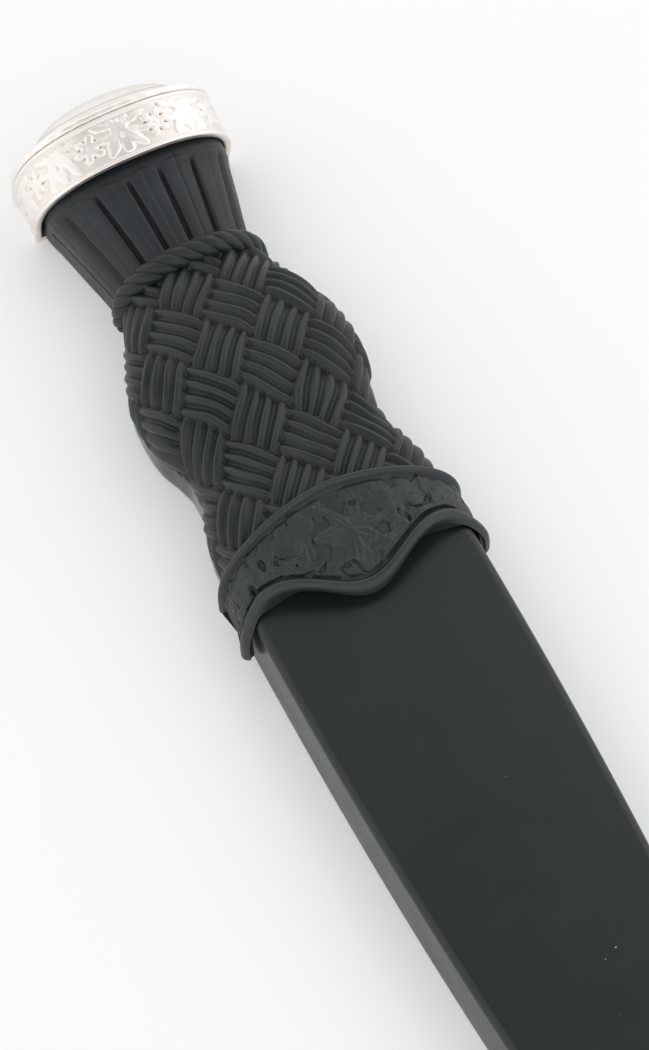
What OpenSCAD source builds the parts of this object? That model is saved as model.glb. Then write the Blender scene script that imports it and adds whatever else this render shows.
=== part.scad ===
// Sgian dubh: a small Scottish dress knife, sheathed, lying on its flat back.
// Millimetres. +Y runs along the knife to the pommel, +X across it, +Z out of the decorated front.
// The flat back is z = 0 and the origin is the middle of the footprint.
// Inside the modules y = 0 is the line where the ferrule's lip ends at the sides.

/* [Sheath] */
// Length of the sheath, from the ferrule's side lips to the tip
sheath_length = 102; // [94:1:110]
// Width of the sheath at its mouth
sheath_mouth_w = 29.6; // [28.8:0.1:29.8]
// Width of the sheath where the rounded tip begins
sheath_tip_w = 19.2; // [17:0.1:21]
// Thickness of the sheath, back to front
sheath_t = 8.7; // [8.6:0.1:9.2]
// Wall of the moulded shell
sheath_wall = 1.4; // [1.2:0.1:1.5]

/* [Blade] */
// Length of the blade, from its shoulders to the point
blade_length = 86; // [76:1:88]
// Width of the blade at its shoulders
blade_w = 18; // [16:0.5:19]
// Thickness of the blade at the spine
blade_t = 2.4; // [2:0.1:2.6]

/* [Handle] */
// Width over the lips of the ferrule, the widest place
lip_w = 34; // [33.6:0.1:34.6]
// Half-width of the grip at its swelling
grip_bulge = 14.8; // [14:0.1:15]
// Half-width of the grip at its waist
grip_waist = 12.6; // [12:0.1:13]
// Height of the grip's front above the flat back
grip_t = 13.6; // [13:0.1:15]
// Where the rope collar sits, above the side lips
collar_y = 49.3; // [48.5:0.1:50]
// Radius of the rope collar's cord
cord_r = 1.8; // [1.6:0.1:1.9]

/* [Pommel] */
// Where the silver sleeve begins
sleeve_y = 63.6; // [63:0.1:64.5]
// Height of the sleeve along the knife
sleeve_h = 7.8; // [7.4:0.1:9]
// Width of the sleeve
sleeve_w = 27.8; // [27.4:0.1:28.6]
// Height of the sleeve's front above the flat back
sleeve_t = 15.4; // [15:0.1:16]
// Rise of the dome above its rim plate
dome_h = 2.8; // [2:0.1:4]
// Angle at which the pommel leans towards the front
lean = 15; // [10:0.5:16]

/* [Hidden] */

$fn = 48;
// Gap left between two pieces that are assembled but not pressed together
slip = 0.1;
// A cutting shape reaches this far past what it cuts
past = 2;

// Heights of the shared planes
blade_z = sheath_t / 2;                  // middle of the blade and the tang
// Lengths of the shared planes
mouth_y = 4.2;                           // sheath's open end, under the ferrule's lip
guard_y = 4.4;                           // blade shoulders bear on the guard plate here
guard_t = 1.5;
grip_y = guard_y + guard_t + slip;       // lower end of the grip, inside the ferrule
ferrule_back_y = 7.4;                    // upper edge of the ferrule on the flat back
seat_y = sleeve_y + 3;                   // where the tang's washer bears on the neck
plate_y = sleeve_y + sleeve_h;           // underside of the rim plate, before the pommel is leaned over
plate_t = 1;
dome_t = 11;                             // thickness of the dome's foot
dome_mid = sleeve_t / 2;
dome_reach = norm([dome_h * cos(lean), dome_t / 2 * sin(lean)]);
top_y = sleeve_y + (sleeve_h + plate_t) * cos(lean) + (sleeve_t - dome_mid) * sin(lean) + dome_reach;
origin_y = (sheath_length - top_y) / 2;  // moves y = 0 so that the origin is mid-length

// ---- Curves and solids that the pieces share ----

function signed_pow(v, e) = sign(v) * pow(abs(v), e);

// Height at which a section is widest, as a share of its thickness
waist_share = 0.4;
// A D-shaped section has an elliptic front and a squarer back, which is cut flat at z = 0
front_power = 2.3;
back_power = 7;
back_sink = 0.6;

// One point of a D-shaped section of half-width w and thickness t, at angle a
function d_point(w, t, a, front = front_power) =
    let (mid = t * waist_share, c = cos(a), s = sin(a), power = s >= 0 ? front : back_power)
    [
        w * signed_pow(c, 2 / power),
        max(0, mid + (s >= 0 ? t - mid : mid + back_sink) * signed_pow(s, 2 / power))
    ];

function d_outline(w, t, count = 48) = [for (i = [0:count - 1]) d_point(w, t, 360 * i / count)];

// A ring in the plane y, from a flat outline of [x, z] points
function ring(outline, y) = [for (p = outline) [p[0], y, p[1]]];

// A closed solid through rings that all have the same number of points, along +Y
module loft(rings) {
    n = len(rings[0]);
    last = len(rings) - 1;
    polyhedron(
        points = [for (r = rings) each r],
        faces = concat(
            [[for (i = [n - 1:-1:0]) i], [for (i = [0:n - 1]) last * n + i]],
            [for (r = [0:last - 1], i = [0:n - 1]) let (j = (i + 1) % n)
                [r * n + i, r * n + j, (r + 1) * n + j, (r + 1) * n + i]]
        )
    );
}

// A D-shaped bar from y0 to y1
module d_bar(w, t, y0, y1) {
    translate([0, y1, 0]) rotate([90, 0, 0]) linear_extrude(y1 - y0) polygon(d_outline(w, t));
}

// A plan outline given the height z0 to z1
module slab(outline, z0, z1) {
    translate([0, 0, z0]) linear_extrude(z1 - z0) polygon(outline);
}

// A round bar along +Y at the height of the tang
module tang_bar(r, y0, y1) {
    translate([0, y1, blade_z]) rotate([90, 0, 0]) cylinder(r = r, h = y1 - y0);
}

module place() {
    translate([0, origin_y, 0]) children();
}

// ---- Sheath ----

tip_round = 12;                          // length of the rounded tip
sheath_belly = 2.2;                      // how late the sides draw in
sheath_straight = sheath_length - tip_round;

// Half-width of the sheath at distance d below the side lips
function sheath_half(d) =
    let (taper = (sheath_mouth_w - sheath_tip_w) / 2)
    d <= sheath_straight
        ? sheath_mouth_w / 2 - taper * pow(max(d, 0) / sheath_straight, sheath_belly)
        : sheath_tip_w / 2 * sqrt(1 - pow((d - sheath_straight) / tip_round, 2));

// Distances at which the sheath's outline is drawn: even along the sides, closer round the tip
sheath_stations = concat(
    [for (i = [0:14]) sheath_straight * i / 14],
    [for (a = [10:10:80]) sheath_straight + tip_round * sin(a)]
);

// Plan of the sheath, moved in by inset, from the mouth plane to the tip
function sheath_plan(inset, top) =
    let (
        right = [for (d = sheath_stations) [sheath_half(d) - inset, min(-d, top - past)]],
        tip = -sheath_length + inset
    )
    concat(
        [[-sheath_half(0) + inset, top], [sheath_half(0) - inset, top]],
        [for (p = right) if (p[0] > 0.4 && p[1] > tip) p],
        [[0, tip]],
        [for (i = [len(right) - 1:-1:0]) let (p = right[i]) if (p[0] > 0.4 && p[1] > tip) [-p[0], p[1]]]
    );

edge_front = 1.1;                        // rounding of the front edges
edge_back = 0.8;                         // rounding of the back edges
draft = 0.4;                             // the front is narrower than the back by this, each side

function arc(cx, cz, r, a0, a1, steps = 5) =
    [for (i = [0:steps]) let (a = a0 + (a1 - a0) * i / steps) [cx + r * cos(a), cz + r * sin(a)]];

// Section of the sheath: flat back, flat front, rounded edges
function sheath_section(half) =
    let (f = min(edge_front, half - 0.1), b = min(edge_back, half - 0.1), top = half - min(draft, half / 4))
    concat(
        arc(half - b, b, b, -90, 0),
        arc(top - f, sheath_t - f, f, 0, 90),
        arc(f - top, sheath_t - f, f, 90, 180),
        arc(b - half, b, b, 180, 270)
    );

module sheath_shell() {
    color([0.16, 0.17, 0.18]) difference() {
        loft(concat(
            [ring(sheath_section(0.6), -sheath_length)],
            [for (i = [len(sheath_stations) - 1:-1:0])
                ring(sheath_section(sheath_half(sheath_stations[i])), -sheath_stations[i])],
            [ring(sheath_section(sheath_half(0)), mouth_y)]
        ));
        slab(sheath_plan(sheath_wall, mouth_y + past), sheath_wall, sheath_t - sheath_wall);
    }
}

// Layers of the lining, from the back to the front of the shell's hollow
lining_gap = slip + sheath_wall;         // how far the lining's edge is inside the sheath's outline
layer_back = sheath_wall + slip / 2;
layer_t = 1.3;                           // thickness of each flat liner
pocket_0 = layer_back + layer_t + slip / 2;
pocket_1 = sheath_t - pocket_0;
throat_t = 1.2;
lining_top = mouth_y - throat_t - slip;

module lining_layer(z0, z1) {
    intersection() {
        slab(sheath_plan(lining_gap, mouth_y), z0, z1);
        translate([-sheath_mouth_w, lining_top - 2 * sheath_length, z0])
            cube([2 * sheath_mouth_w, 2 * sheath_length, z1 - z0]);
    }
}

module liner_back() {
    color([0.45, 0.4, 0.33]) lining_layer(layer_back, layer_back + layer_t);
}

// The bowed strip that holds the knife by pressing on the blade's flat
spring_y = -20;                          // middle of the spring
spring_half = 13;
spring_w = 4.6;
spring_t = 0.35;
spring_r = 71;                           // radius of the bow
spring_touch = blade_z + blade_t / 2 + 0.02;

module liner_front() {
    window = [spring_w + 0.8, 2 * spring_half + 2, sheath_t];
    color([0.45, 0.4, 0.33]) difference() {
        lining_layer(sheath_t - layer_back - layer_t, sheath_t - layer_back);
        translate([-window[0] / 2, spring_y - window[1] / 2, 0]) cube(window);
    }
}

module retention_spring() {
    centre_z = spring_touch + spring_r + spring_t;
    color([0.7, 0.7, 0.68]) intersection() {
        translate([-spring_w / 2, spring_y, centre_z]) rotate([0, 90, 0]) difference() {
            cylinder(r = spring_r + spring_t, h = spring_w, $fn = 200);
            translate([0, 0, -1]) cylinder(r = spring_r, h = spring_w + 2, $fn = 200);
        }
        translate([-spring_w, spring_y - spring_half, 0]) cube([2 * spring_w, 2 * spring_half, sheath_t]);
    }
}

// The U-shaped layer between the liners, open at the mouth, that keeps the edge off the shell
module welt() {
    color([0.45, 0.4, 0.33]) difference() {
        lining_layer(pocket_0, pocket_1);
        slab(concat([[pocket_right, mouth_y], [pocket_left, mouth_y]], blade_plan(0.5)), 0, sheath_t);
    }
}

module throat_plate() {
    half = sheath_mouth_w / 2 - lining_gap;
    slot_z = blade_t / 2 + 0.25;
    color([0.2, 0.2, 0.2]) difference() {
        translate([-half, mouth_y - throat_t, layer_back])
            cube([2 * half, throat_t, sheath_t - 2 * layer_back]);
        translate([pocket_left, mouth_y - past, blade_z - slot_z])
            cube([pocket_right - pocket_left, 2 * past, 2 * slot_z]);
    }
}

// ---- Blade and tang ----

blade_half = blade_w / 2;
point_x = -1;                            // the point is a little to the spine's side of the middle
spine_bend = 0.55;                       // share of the length at which the spine starts to drop
pocket_left = -blade_half - 0.5;
pocket_right = blade_half + 0.5;

// The spine and the edge, at share u of the blade's length from its shoulders
function spine_x(u) =
    let (bend = max(0, (u - spine_bend) / (1 - spine_bend)))
    -blade_half + (blade_half + point_x) * pow(bend, 1.7);
function edge_x(u) = blade_half - (blade_half - point_x) * pow(u, 3.2);
function blade_y(u) = guard_y - u * blade_length;

blade_stations = concat([0], [for (i = [1:19]) i / 20], [0.975, 0.99]);

// Plan of the blade grown by gap on both edges, from the shoulders round the point
function blade_plan(gap) = concat(
    [for (u = blade_stations) [spine_x(u) - gap, blade_y(u)]],
    [[point_x, blade_y(1) - gap]],
    [for (i = [len(blade_stations) - 1:-1:0]) let (u = blade_stations[i]) [edge_x(u) + gap, blade_y(u)]]
);

ricasso = 0.03;                          // share of the blade that isn't ground
edge_t = 0.3;                            // thickness left at the cutting edge
grind_w = 9.9;                           // how far the grind reaches in from the edge
grind_angle = atan((blade_t - edge_t) / 2 / grind_w);
grind_u = [ricasso, 0.35, 0.5, 0.62, 0.72, 0.81, 0.89, 0.95, 1];

// What the grind takes off the front face: a flat for each stretch of the edge
module grind() {
    intersection() {
        union() for (i = [0:len(grind_u) - 2]) {
            start = [edge_x(grind_u[i]), blade_y(grind_u[i])];
            run = [edge_x(grind_u[i + 1]), blade_y(grind_u[i + 1])] - start;
            translate([start[0], start[1], edge_t / 2])
                rotate([0, 0, atan2(run[1], run[0])]) rotate([-grind_angle, 0, 0])
                    translate([-blade_length, -blade_w, 0]) cube([2 * blade_length, 2 * blade_w, blade_w]);
        }
        translate([-blade_w, blade_y(1) - past, 0])
            cube([2 * blade_w, blade_length * (1 - ricasso) + past, blade_t]);
    }
}

tang_t = 2;                              // thickness of the tang
tang_w0 = 9;                             // width of the tang at the shoulders
tang_w1 = 5;                             // and where its threaded end starts
tang_flat = 43;
rod_r = 1.5;
rod_top = seat_y + 3.6;
tang_play = 0.15;                        // clearance round the tang in the handle

function tang_plan(play) = [
    [-tang_w0 / 2 - play, guard_y - 0.5], [tang_w0 / 2 + play, guard_y - 0.5],
    [tang_w1 / 2 + play, tang_flat + play], [-tang_w1 / 2 - play, tang_flat + play]
];

notch_r = 0.9;
notch_step = 2.6;
notch_count = 8;
fuller_r = 5;
fuller_deep = 0.3;

module blade() {
    color([0.78, 0.79, 0.8]) difference() {
        union() {
            slab(blade_plan(0), blade_z - blade_t / 2, blade_z + blade_t / 2);
            slab(tang_plan(0), blade_z - tang_t / 2, blade_z + tang_t / 2);
            tang_bar(rod_r, tang_flat - 4, rod_top);
        }
        translate([0, 0, blade_z]) grind();
        translate([0, 0, blade_z]) mirror([0, 0, 1]) grind();
        for (i = [0:notch_count - 1])    // file-work along the spine
            translate([-blade_half - notch_r / 3, blade_y(0.07) - i * notch_step, 0])
                cylinder(r = notch_r, h = sheath_t, $fn = 24);
        for (side = [-1, 1]) {           // a fuller in each face
            fuller_z = blade_z + side * (blade_t / 2 + fuller_r - fuller_deep);
            translate([-blade_half / 2, blade_y(0.06), fuller_z]) rotate([90, 0, 0])
                cylinder(r = fuller_r, h = blade_length * 0.5);
        }
    }
}

// Cuts the way for the tang through a piece of the handle
module tang_way() {
    slab(tang_plan(tang_play), blade_z - tang_t / 2 - tang_play, blade_z + tang_t / 2 + tang_play);
    tang_bar(rod_r + tang_play, tang_flat - 4, seat_y + past);
}

// ---- Ferrule ----

grip_foot = 14.6;                        // half-width of the grip inside the ferrule
spigot_step = 1.2;                       // the grip's end is smaller by this where the ferrule wraps it
foot_t = grip_t - 0.4;                   // thickness of the grip inside the ferrule
band_w = grip_foot + 1.2;                // half-width of the ferrule's decorated band
band_rise = 0.12;                        // its front rises by this for each millimetre towards the grip
band_power = 2.6;                        // and its corners are fuller than the grip's
wing_z = 2.5;                            // the lip and the bead stop this far above the flat back
lip_wall = 1.5;                          // thickness of the ferrule behind its lip
lip_band = 1.9;                          // width of the lip along its lower edge
bead_band = 1.2;                         // width of the bead along its upper edge
bow_x = 12.6;                            // the lower edge is highest this far from the middle
bow_low = -3.4;                          // its lowest place, mid-front
bow_high = 1;
arch_high = 11.5;                        // the upper edge at mid-front
arch_side = 7.1;                         // and at the sides
arch_power = 1.55;

// Lower edge of the ferrule: a bow that dips in the middle and again at the sides
function bow_y(x) =
    let (a = abs(x), mid = (bow_high + bow_low) / 2, swing = (bow_high - bow_low) / 2)
    a < bow_x
        ? mid - swing * cos(180 * a / bow_x)
        : bow_high - (bow_high + 0.7) * (1 - cos(90 * (a - bow_x) / (lip_w / 2 - bow_x)));

// Upper edge of the ferrule: an arch that drops down the sides
function arch_y(x) = arch_high - (arch_high - arch_side) * pow(min(1, abs(x) * 2 / lip_w), arch_power);

// Thickness of the ferrule's band at height y
function band_t(y) = grip_t + 0.6 - band_rise * (arch_high - y);

ferrule_x = [for (i = [-24:24]) (lip_w / 2 + past) * i / 24];

// Plan between two edges that follow the bow and the arch
function band_plan(low, high) = concat(
    [for (x = ferrule_x) [x, low(x)]],
    [for (i = [len(ferrule_x) - 1:-1:0]) [ferrule_x[i], high(ferrule_x[i])]]
);

// A bar that follows the band's slope, thicker by extra
module band_bar(w, extra, y0, y1) {
    loft([for (y = [y0, y1])
        ring([for (i = [0:71]) d_point(w, band_t(y) + extra, 5 * i, band_power)], y)]);
}

module ferrule_band(w, extra, low, high) {
    intersection() {
        band_bar(w, extra, bow_low - past, arch_high + past);
        slab(band_plan(low, high), wing_z, sheath_t * 2);
    }
}

module ferrule() {
    color([0.2, 0.21, 0.22]) difference() {
        union() {
            ferrule_band(band_w, 0, function (x) bow_y(x), function (x) arch_y(x));
            ferrule_band(lip_w / 2, 1,
                function (x) bow_y(x), function (x) bow_y(x) + lip_band);
            ferrule_band(band_w + 0.9, 0.6,
                function (x) arch_y(x) - bead_band, function (x) arch_y(x));
            band_bar(band_w - 0.6, -0.4, guard_y, ferrule_back_y);
        }
        d_bar(grip_foot + slip, foot_t + slip, ferrule_back_y, arch_high + past);
        translate([0, 0, spigot_step - slip])
            d_bar(
                grip_foot - spigot_step + slip, grip_t - 2 * (spigot_step - slip),
                guard_y - 0.01, ferrule_back_y + past
            );
        // the hollow behind the lip, and the way in for the sheath's mouth
        band_bar(band_w - lip_wall, -lip_wall - 0.5, bow_low - past, guard_y);
        translate([0, guard_y, 0]) rotate([90, 0, 0]) linear_extrude(3 * past - bow_low)
            polygon(mouth_way(0.2));
        translate([-lip_w, bow_low - past, -past])
            cube([2 * lip_w, guard_y - bow_low + past, past + wing_z]);
    }
}

// The sheath's section at its mouth, grown by gap
function mouth_way(gap) =
    let (half = sheath_mouth_w / 2 + gap, top = sheath_t + gap, r = edge_front)
    concat(
        [[-half, -past], [half, -past]],
        arc(half - r, top - r, r, 0, 90),
        arc(r - half, top - r, r, 90, 180)
    );

module guard_plate() {
    w = grip_foot - spigot_step - slip;
    color([0.72, 0.7, 0.6]) difference() {
        translate([0, 0, spigot_step]) d_bar(w, grip_t - 2 * spigot_step, guard_y + 0.02, guard_y + guard_t);
        tang_way();
    }
}

// ---- Grip, collar and neck ----

// Half-width and thickness along the grip: [y, half-width, thickness]
grip_stations = [
    [ferrule_back_y, grip_foot, foot_t],
    [arch_high, grip_foot - 0.1, foot_t],
    [16, grip_foot - 0.9, grip_t - 0.5],
    [19, grip_waist + 0.1, grip_t - 0.8],
    [22, grip_waist, grip_t - 0.8],
    [25, grip_waist + 0.7, grip_t - 0.5],
    [28, grip_bulge - 0.4, grip_t],
    [30, grip_bulge - 0.1, grip_t + 0.3],
    [32, grip_bulge, grip_t + 0.4],
    [34.5, grip_bulge - 0.1, grip_t + 0.4],
    [37, grip_bulge - 0.6, grip_t + 0.3],
    [40, grip_bulge - 1.6, grip_t],
    [43, grip_bulge - 2.8, grip_t - 0.5],
    [45.5, grip_bulge - 3.9, grip_t - 1],
    [collar_y - 1.9, grip_bulge - 4.6, grip_t - 1.5],
    [collar_y, grip_bulge - 5, grip_t - 1.7]
];

collar_w = grip_bulge - 5.7;             // half-width of the cord's middle line
collar_t = grip_t - 1.7;
cord_sides = 12;
cord_steps = 48;
cord_end = 3;                            // the cord stops this many degrees below its widest place

// The cord: a tube of radius r round the front and the sides, twisted by bumps of height lay
module cord(r, lay) {
    function middle(a) = let (p = d_point(collar_w, collar_t, a)) [p[0], collar_y, p[1]];
    rings = [for (i = [0:cord_steps])
        let (
            a = -cord_end + (180 + 2 * cord_end) * i / cord_steps,
            p = middle(a), ahead = middle(a + 2) - middle(a - 2),
            out = [ahead[2], 0, -ahead[0]] / norm(ahead),
            end = i == 0 || i == cord_steps ? 0.6 : 1
        )
        [for (k = [0:cord_sides - 1])
            let (b = 360 * k / cord_sides, rr = end * (r + lay * cos(3 * b + 12 * a)))
            p + out * rr * cos(b) + [0, 1, 0] * rr * sin(b)]];
    loft_open(rings);
}

// As loft, for rings that run from +X over the front to -X
module loft_open(rings) {
    n = len(rings[0]);
    last = len(rings) - 1;
    polyhedron(
        points = [for (r = rings) each r],
        faces = concat(
            [[for (i = [0:n - 1]) i], [for (i = [n - 1:-1:0]) last * n + i]],
            [for (r = [0:last - 1], i = [0:n - 1]) let (j = (i + 1) % n)
                [r * n + i, (r + 1) * n + i, (r + 1) * n + j, r * n + j]]
        )
    );
}

module twist_collar() {
    color([0.2, 0.21, 0.22]) cord(cord_r - 0.15, 0.15);
}

module grip() {
    color([0.18, 0.19, 0.21]) difference() {
        union() {
            loft([for (s = grip_stations) ring(d_outline(s[1], s[2]), s[0])]);
            translate([0, 0, spigot_step])
                d_bar(grip_foot - spigot_step, grip_t - 2 * spigot_step, grip_y, ferrule_back_y + past);
        }
        tang_way();
        cord(cord_r + slip, 0);
    }
}

neck_foot = grip_bulge - 5.4;            // half-width of the neck under the collar
neck_head = 12.6;                        // half-width of the neck under the silver sleeve
neck_points = 144;
flute_step = 25;                         // angle from one groove to the next
flute_deep = 0.8;

// Groove depth at angle a of the neck's section: narrow grooves on the front only
function flute(a) =
    let (off = abs(((a - 90) % flute_step + flute_step) % flute_step - flute_step / 2))
    a > 5 && a < 175 ? flute_deep * pow(max(0, 1 - off / 3.2), 0.7) : 0;

function neck_outline(w, t, deep) = [for (i = [0:neck_points - 1])
    let (a = 360 * i / neck_points, cut = a < 180 ? deep * flute(a) : 0)
    d_point(w - cut, t - cut, a)];

// A ring whose back is pushed up by slope for each millimetre below height t
function leaned(outline, y, t, slope) = [for (p = outline) [p[0], y + (t - p[1]) * slope, p[1]]];

module neck() {
    t0 = collar_t;
    t1 = sleeve_t - 1.5;
    k = tan(lean);
    color([0.18, 0.19, 0.21]) difference() {
        union() {
            loft([
                ring(neck_outline(neck_foot, t0, 0), collar_y + 0.02),
                leaned(neck_outline(neck_foot, t0, 0.6), collar_y + 1.4, t0, 0.1 * k),
                leaned(neck_outline(neck_foot + 0.5, t0 + 0.4, 1), collar_y + 4, t0, 0.3 * k),
                leaned(neck_outline(neck_head - 0.7, t1 - 0.5, 1), sleeve_y - 3, sleeve_t, 0.8 * k),
                leaned(neck_outline(neck_head - 0.2, t1, 0.6), sleeve_y - 1.5, sleeve_t, 0.9 * k),
                leaned(neck_outline(neck_head, t1, 0), sleeve_y - 0.6, sleeve_t, k),
                leaned(neck_outline(neck_head, t1, 0), sleeve_y - 0.03, sleeve_t, k)
            ]);
            pommel_hollow(slip, sleeve_y - 1, sleeve_y + 3.8);
        }
        tang_way();
        tang_bar(seat_r, seat_y, seat_y + 3 * past);
        cord(cord_r + slip, 0);
        pin_bars(pin_r + 0.02, 0);
    }
}

// ---- Pommel ----

sleeve_wall = 1;
// The pommel's section reaches this far below the back before it is cut flat
back_drop = 4;
seat_r = 3.6;                            // radius of the washer's seat in the neck
washer_r = 3.2;
washer_t = 0.8;
pin_r = 0.5;
pin_x = 6.5;
pin_y = sleeve_y + 5.4;
pin_z1 = 3.2;

// Leans what is in it about the front of the sleeve's lower rim
module leaning() {
    translate([0, sleeve_y, sleeve_t]) rotate([lean, 0, 0]) translate([0, -sleeve_y, -sleeve_t]) children();
}

// A leaned bar of the pommel's section, smaller all round by inset, and flat at height inset on its back
module pommel_bar(inset, y0, y1) {
    difference() {
        leaning() translate([0, 0, -back_drop])
            d_bar(sleeve_w / 2 - inset, sleeve_t + back_drop - inset, y0, y1);
        translate([-sleeve_w, sleeve_y - 2 * past, max(inset, 0) - 2 * sleeve_t])
            cube([2 * sleeve_w, 3 * sleeve_h, 2 * sleeve_t]);
    }
}

// The space inside the sleeve, smaller all round by gap
module pommel_hollow(gap, y0, y1) {
    pommel_bar(sleeve_wall + gap, y0, y1);
}

// The two pins that hold the sleeve, driven in from the flat back
module pin_bars(r, clear) {
    for (x = [-pin_x, pin_x])
        translate([x, pin_y, 0.05 - clear]) cylinder(r = r, h = pin_z1 + clear, $fn = 24);
}

module sleeve_pins() {
    color([0.75, 0.73, 0.7]) pin_bars(pin_r, 0);
}

module pommel_sleeve() {
    color([0.86, 0.84, 0.8]) difference() {
        pommel_bar(0, sleeve_y, plate_y);
        pommel_hollow(0, sleeve_y - past, plate_y + past);
        pin_bars(pin_r + 0.02, past);
    }
}

module tang_washer() {
    color([0.7, 0.7, 0.68]) difference() {
        tang_bar(washer_r, seat_y + 0.02, seat_y + washer_t);
        tang_bar(rod_r + tang_play, seat_y - past, seat_y + past);
    }
}

nut_across = 5.5;                        // across the flats
nut_t = 2.3;

module tang_nut() {
    color([0.7, 0.7, 0.68]) difference() {
        translate([0, seat_y + washer_t + 0.02 + nut_t, blade_z]) rotate([90, 0, 0])
            cylinder(r = nut_across / sqrt(3), h = nut_t, $fn = 6);
        tang_bar(rod_r + 0.03, seat_y, seat_y + 3 * past);
    }
}

module pommel_plate() {
    color([0.86, 0.84, 0.8]) union() {
        pommel_bar(-0.1, plate_y + 0.02, plate_y + plate_t);
        pommel_hollow(slip, plate_y - 0.7, plate_y + 0.1);
    }
}

dome_w = 10;                             // half-width of the dome's foot
dome_steps = 8;
dome_end = 86;                           // the dome's curve stops at this angle, short of its crown

module pommel_dome() {
    count = 48;
    function oval(share) = [for (i = [0:count - 1])
        [dome_w * share * cos(360 * i / count), dome_mid + dome_t / 2 * share * sin(360 * i / count)]];
    color([0.86, 0.84, 0.8]) leaning() loft([for (i = [0:dome_steps])
        let (a = dome_end * i / dome_steps)
            ring(oval(cos(a)), plate_y + plate_t + 0.02 + (dome_h - 0.02) * sin(a) / sin(dome_end))]);
}

place() sheath_shell();
place() throat_plate();
place() liner_front();
place() liner_back();
place() welt();
place() retention_spring();
place() blade();
place() guard_plate();
place() ferrule();
place() grip();
place() twist_collar();
place() neck();
place() tang_washer();
place() tang_nut();
place() pommel_sleeve();
place() pommel_plate();
place() pommel_dome();
place() sleeve_pins();
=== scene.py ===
"""The looks of a sheathed sgian dubh, a small Scottish dress knife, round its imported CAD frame.

Lengths are millimetres in the design's own frame: x = 0 is the middle, y = 0 is at the ferrule's side lips,
+Y goes to the pommel, and z = 0 is the flat back.
"""

import math

import bpy
import numpy as np
from mathutils import Matrix, Vector


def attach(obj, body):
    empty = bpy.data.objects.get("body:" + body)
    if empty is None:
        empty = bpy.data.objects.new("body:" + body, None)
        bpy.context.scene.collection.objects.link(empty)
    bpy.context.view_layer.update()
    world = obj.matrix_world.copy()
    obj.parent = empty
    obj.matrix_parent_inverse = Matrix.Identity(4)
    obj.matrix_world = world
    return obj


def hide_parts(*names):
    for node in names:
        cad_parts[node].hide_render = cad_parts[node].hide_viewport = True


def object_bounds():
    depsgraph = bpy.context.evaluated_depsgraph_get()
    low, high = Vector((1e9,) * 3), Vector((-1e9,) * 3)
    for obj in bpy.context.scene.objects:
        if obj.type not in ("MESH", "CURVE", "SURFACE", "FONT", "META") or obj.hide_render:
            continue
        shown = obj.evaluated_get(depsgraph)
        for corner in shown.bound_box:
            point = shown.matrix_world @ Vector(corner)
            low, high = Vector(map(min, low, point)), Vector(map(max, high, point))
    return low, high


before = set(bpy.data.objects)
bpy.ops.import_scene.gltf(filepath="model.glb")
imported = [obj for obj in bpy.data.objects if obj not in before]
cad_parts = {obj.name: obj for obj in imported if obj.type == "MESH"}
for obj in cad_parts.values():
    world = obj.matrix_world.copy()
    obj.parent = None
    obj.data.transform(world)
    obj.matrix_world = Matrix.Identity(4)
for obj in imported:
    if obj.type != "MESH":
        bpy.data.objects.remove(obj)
CAD_LO, CAD_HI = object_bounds()
SHEATH_LENGTH = 102.0
SHIFT_Y = CAD_LO.y * 1000 + SHEATH_LENGTH  # design y to row-frame y
rng = np.random.default_rng(7)


# ---- shared curves

# a D section is two superellipse halves that meet at its widest height
FRONT_POWER = 2.3
BACK_POWER = 7.0
WAIST = 0.4  # the widest height, as a share of the thickness
SINK = 0.6  # how far the back half goes below the floor, where it is cut flat


def spow(v, e):
    """A power of v's size, with v's own sign."""
    return np.sign(v) * np.abs(v) ** e


def unit(v):
    """v, held between 0 and 1."""
    return np.clip(v, 0, 1)


def smooth(a, b, v):
    """0 at a and before it, 1 at b and past it, smooth between. It steps down where a is over b."""
    t = unit((v - a) / (b - a))
    return t * t * (3 - 2 * t)


def d_section(w, t, n=1600, front=FRONT_POWER, span=(-90, 270)):
    """A D of half-width w and thickness t: dense points from the back's middle round +X, the front and -X."""
    a = np.radians(np.linspace(*span, n))
    c, s = np.cos(a), np.sin(a)
    mid = t * WAIST
    power = np.where(s >= 0, front, BACK_POWER)
    x = w * spow(c, 2 / power)
    z = mid + np.where(s >= 0, t - mid, mid + SINK) * spow(s, 2 / power)
    return x, np.maximum(z, 0)


def lengths(x, z):
    """The length along a line of points, from its first point."""
    return np.concatenate([[0], np.cumsum(np.hypot(np.diff(x), np.diff(z)))])


def resample(x, z, shares):
    """The section's points at these shares of its length, and arc lengths: 0 at the front's middle."""
    length = lengths(x, z)
    at = shares * length[-1]
    return np.interp(at, length, x), np.interp(at, length, z), length[-1] / 2 - at


def loft(size, shares):
    """Grids of x, z and arc length, with a D section for each row of size."""
    return np.moveaxis(np.array([resample(*d_section(row[0], row[1]), shares) for row in size]), 1, 0)


def d_ring(w, t, y, shares, lift=0.0):
    """One ring of points round a D section."""
    x, z, _ = resample(*d_section(w, t), shares)
    return np.stack([x, np.full_like(x, y), z + lift], 1)


def front_shares(fine, coarse, share=0.66):
    """Column places round a section: close together over the front and the sides, wider apart on the back."""
    half = share / 2
    back = np.linspace(0, 0.5 - half, coarse, endpoint=False)
    front = np.linspace(0.5 - half, 0.5 + half, fine, endpoint=False)
    back2 = np.linspace(0.5 + half, 1, coarse, endpoint=False)
    return np.concatenate([back, front, back2])


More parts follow.
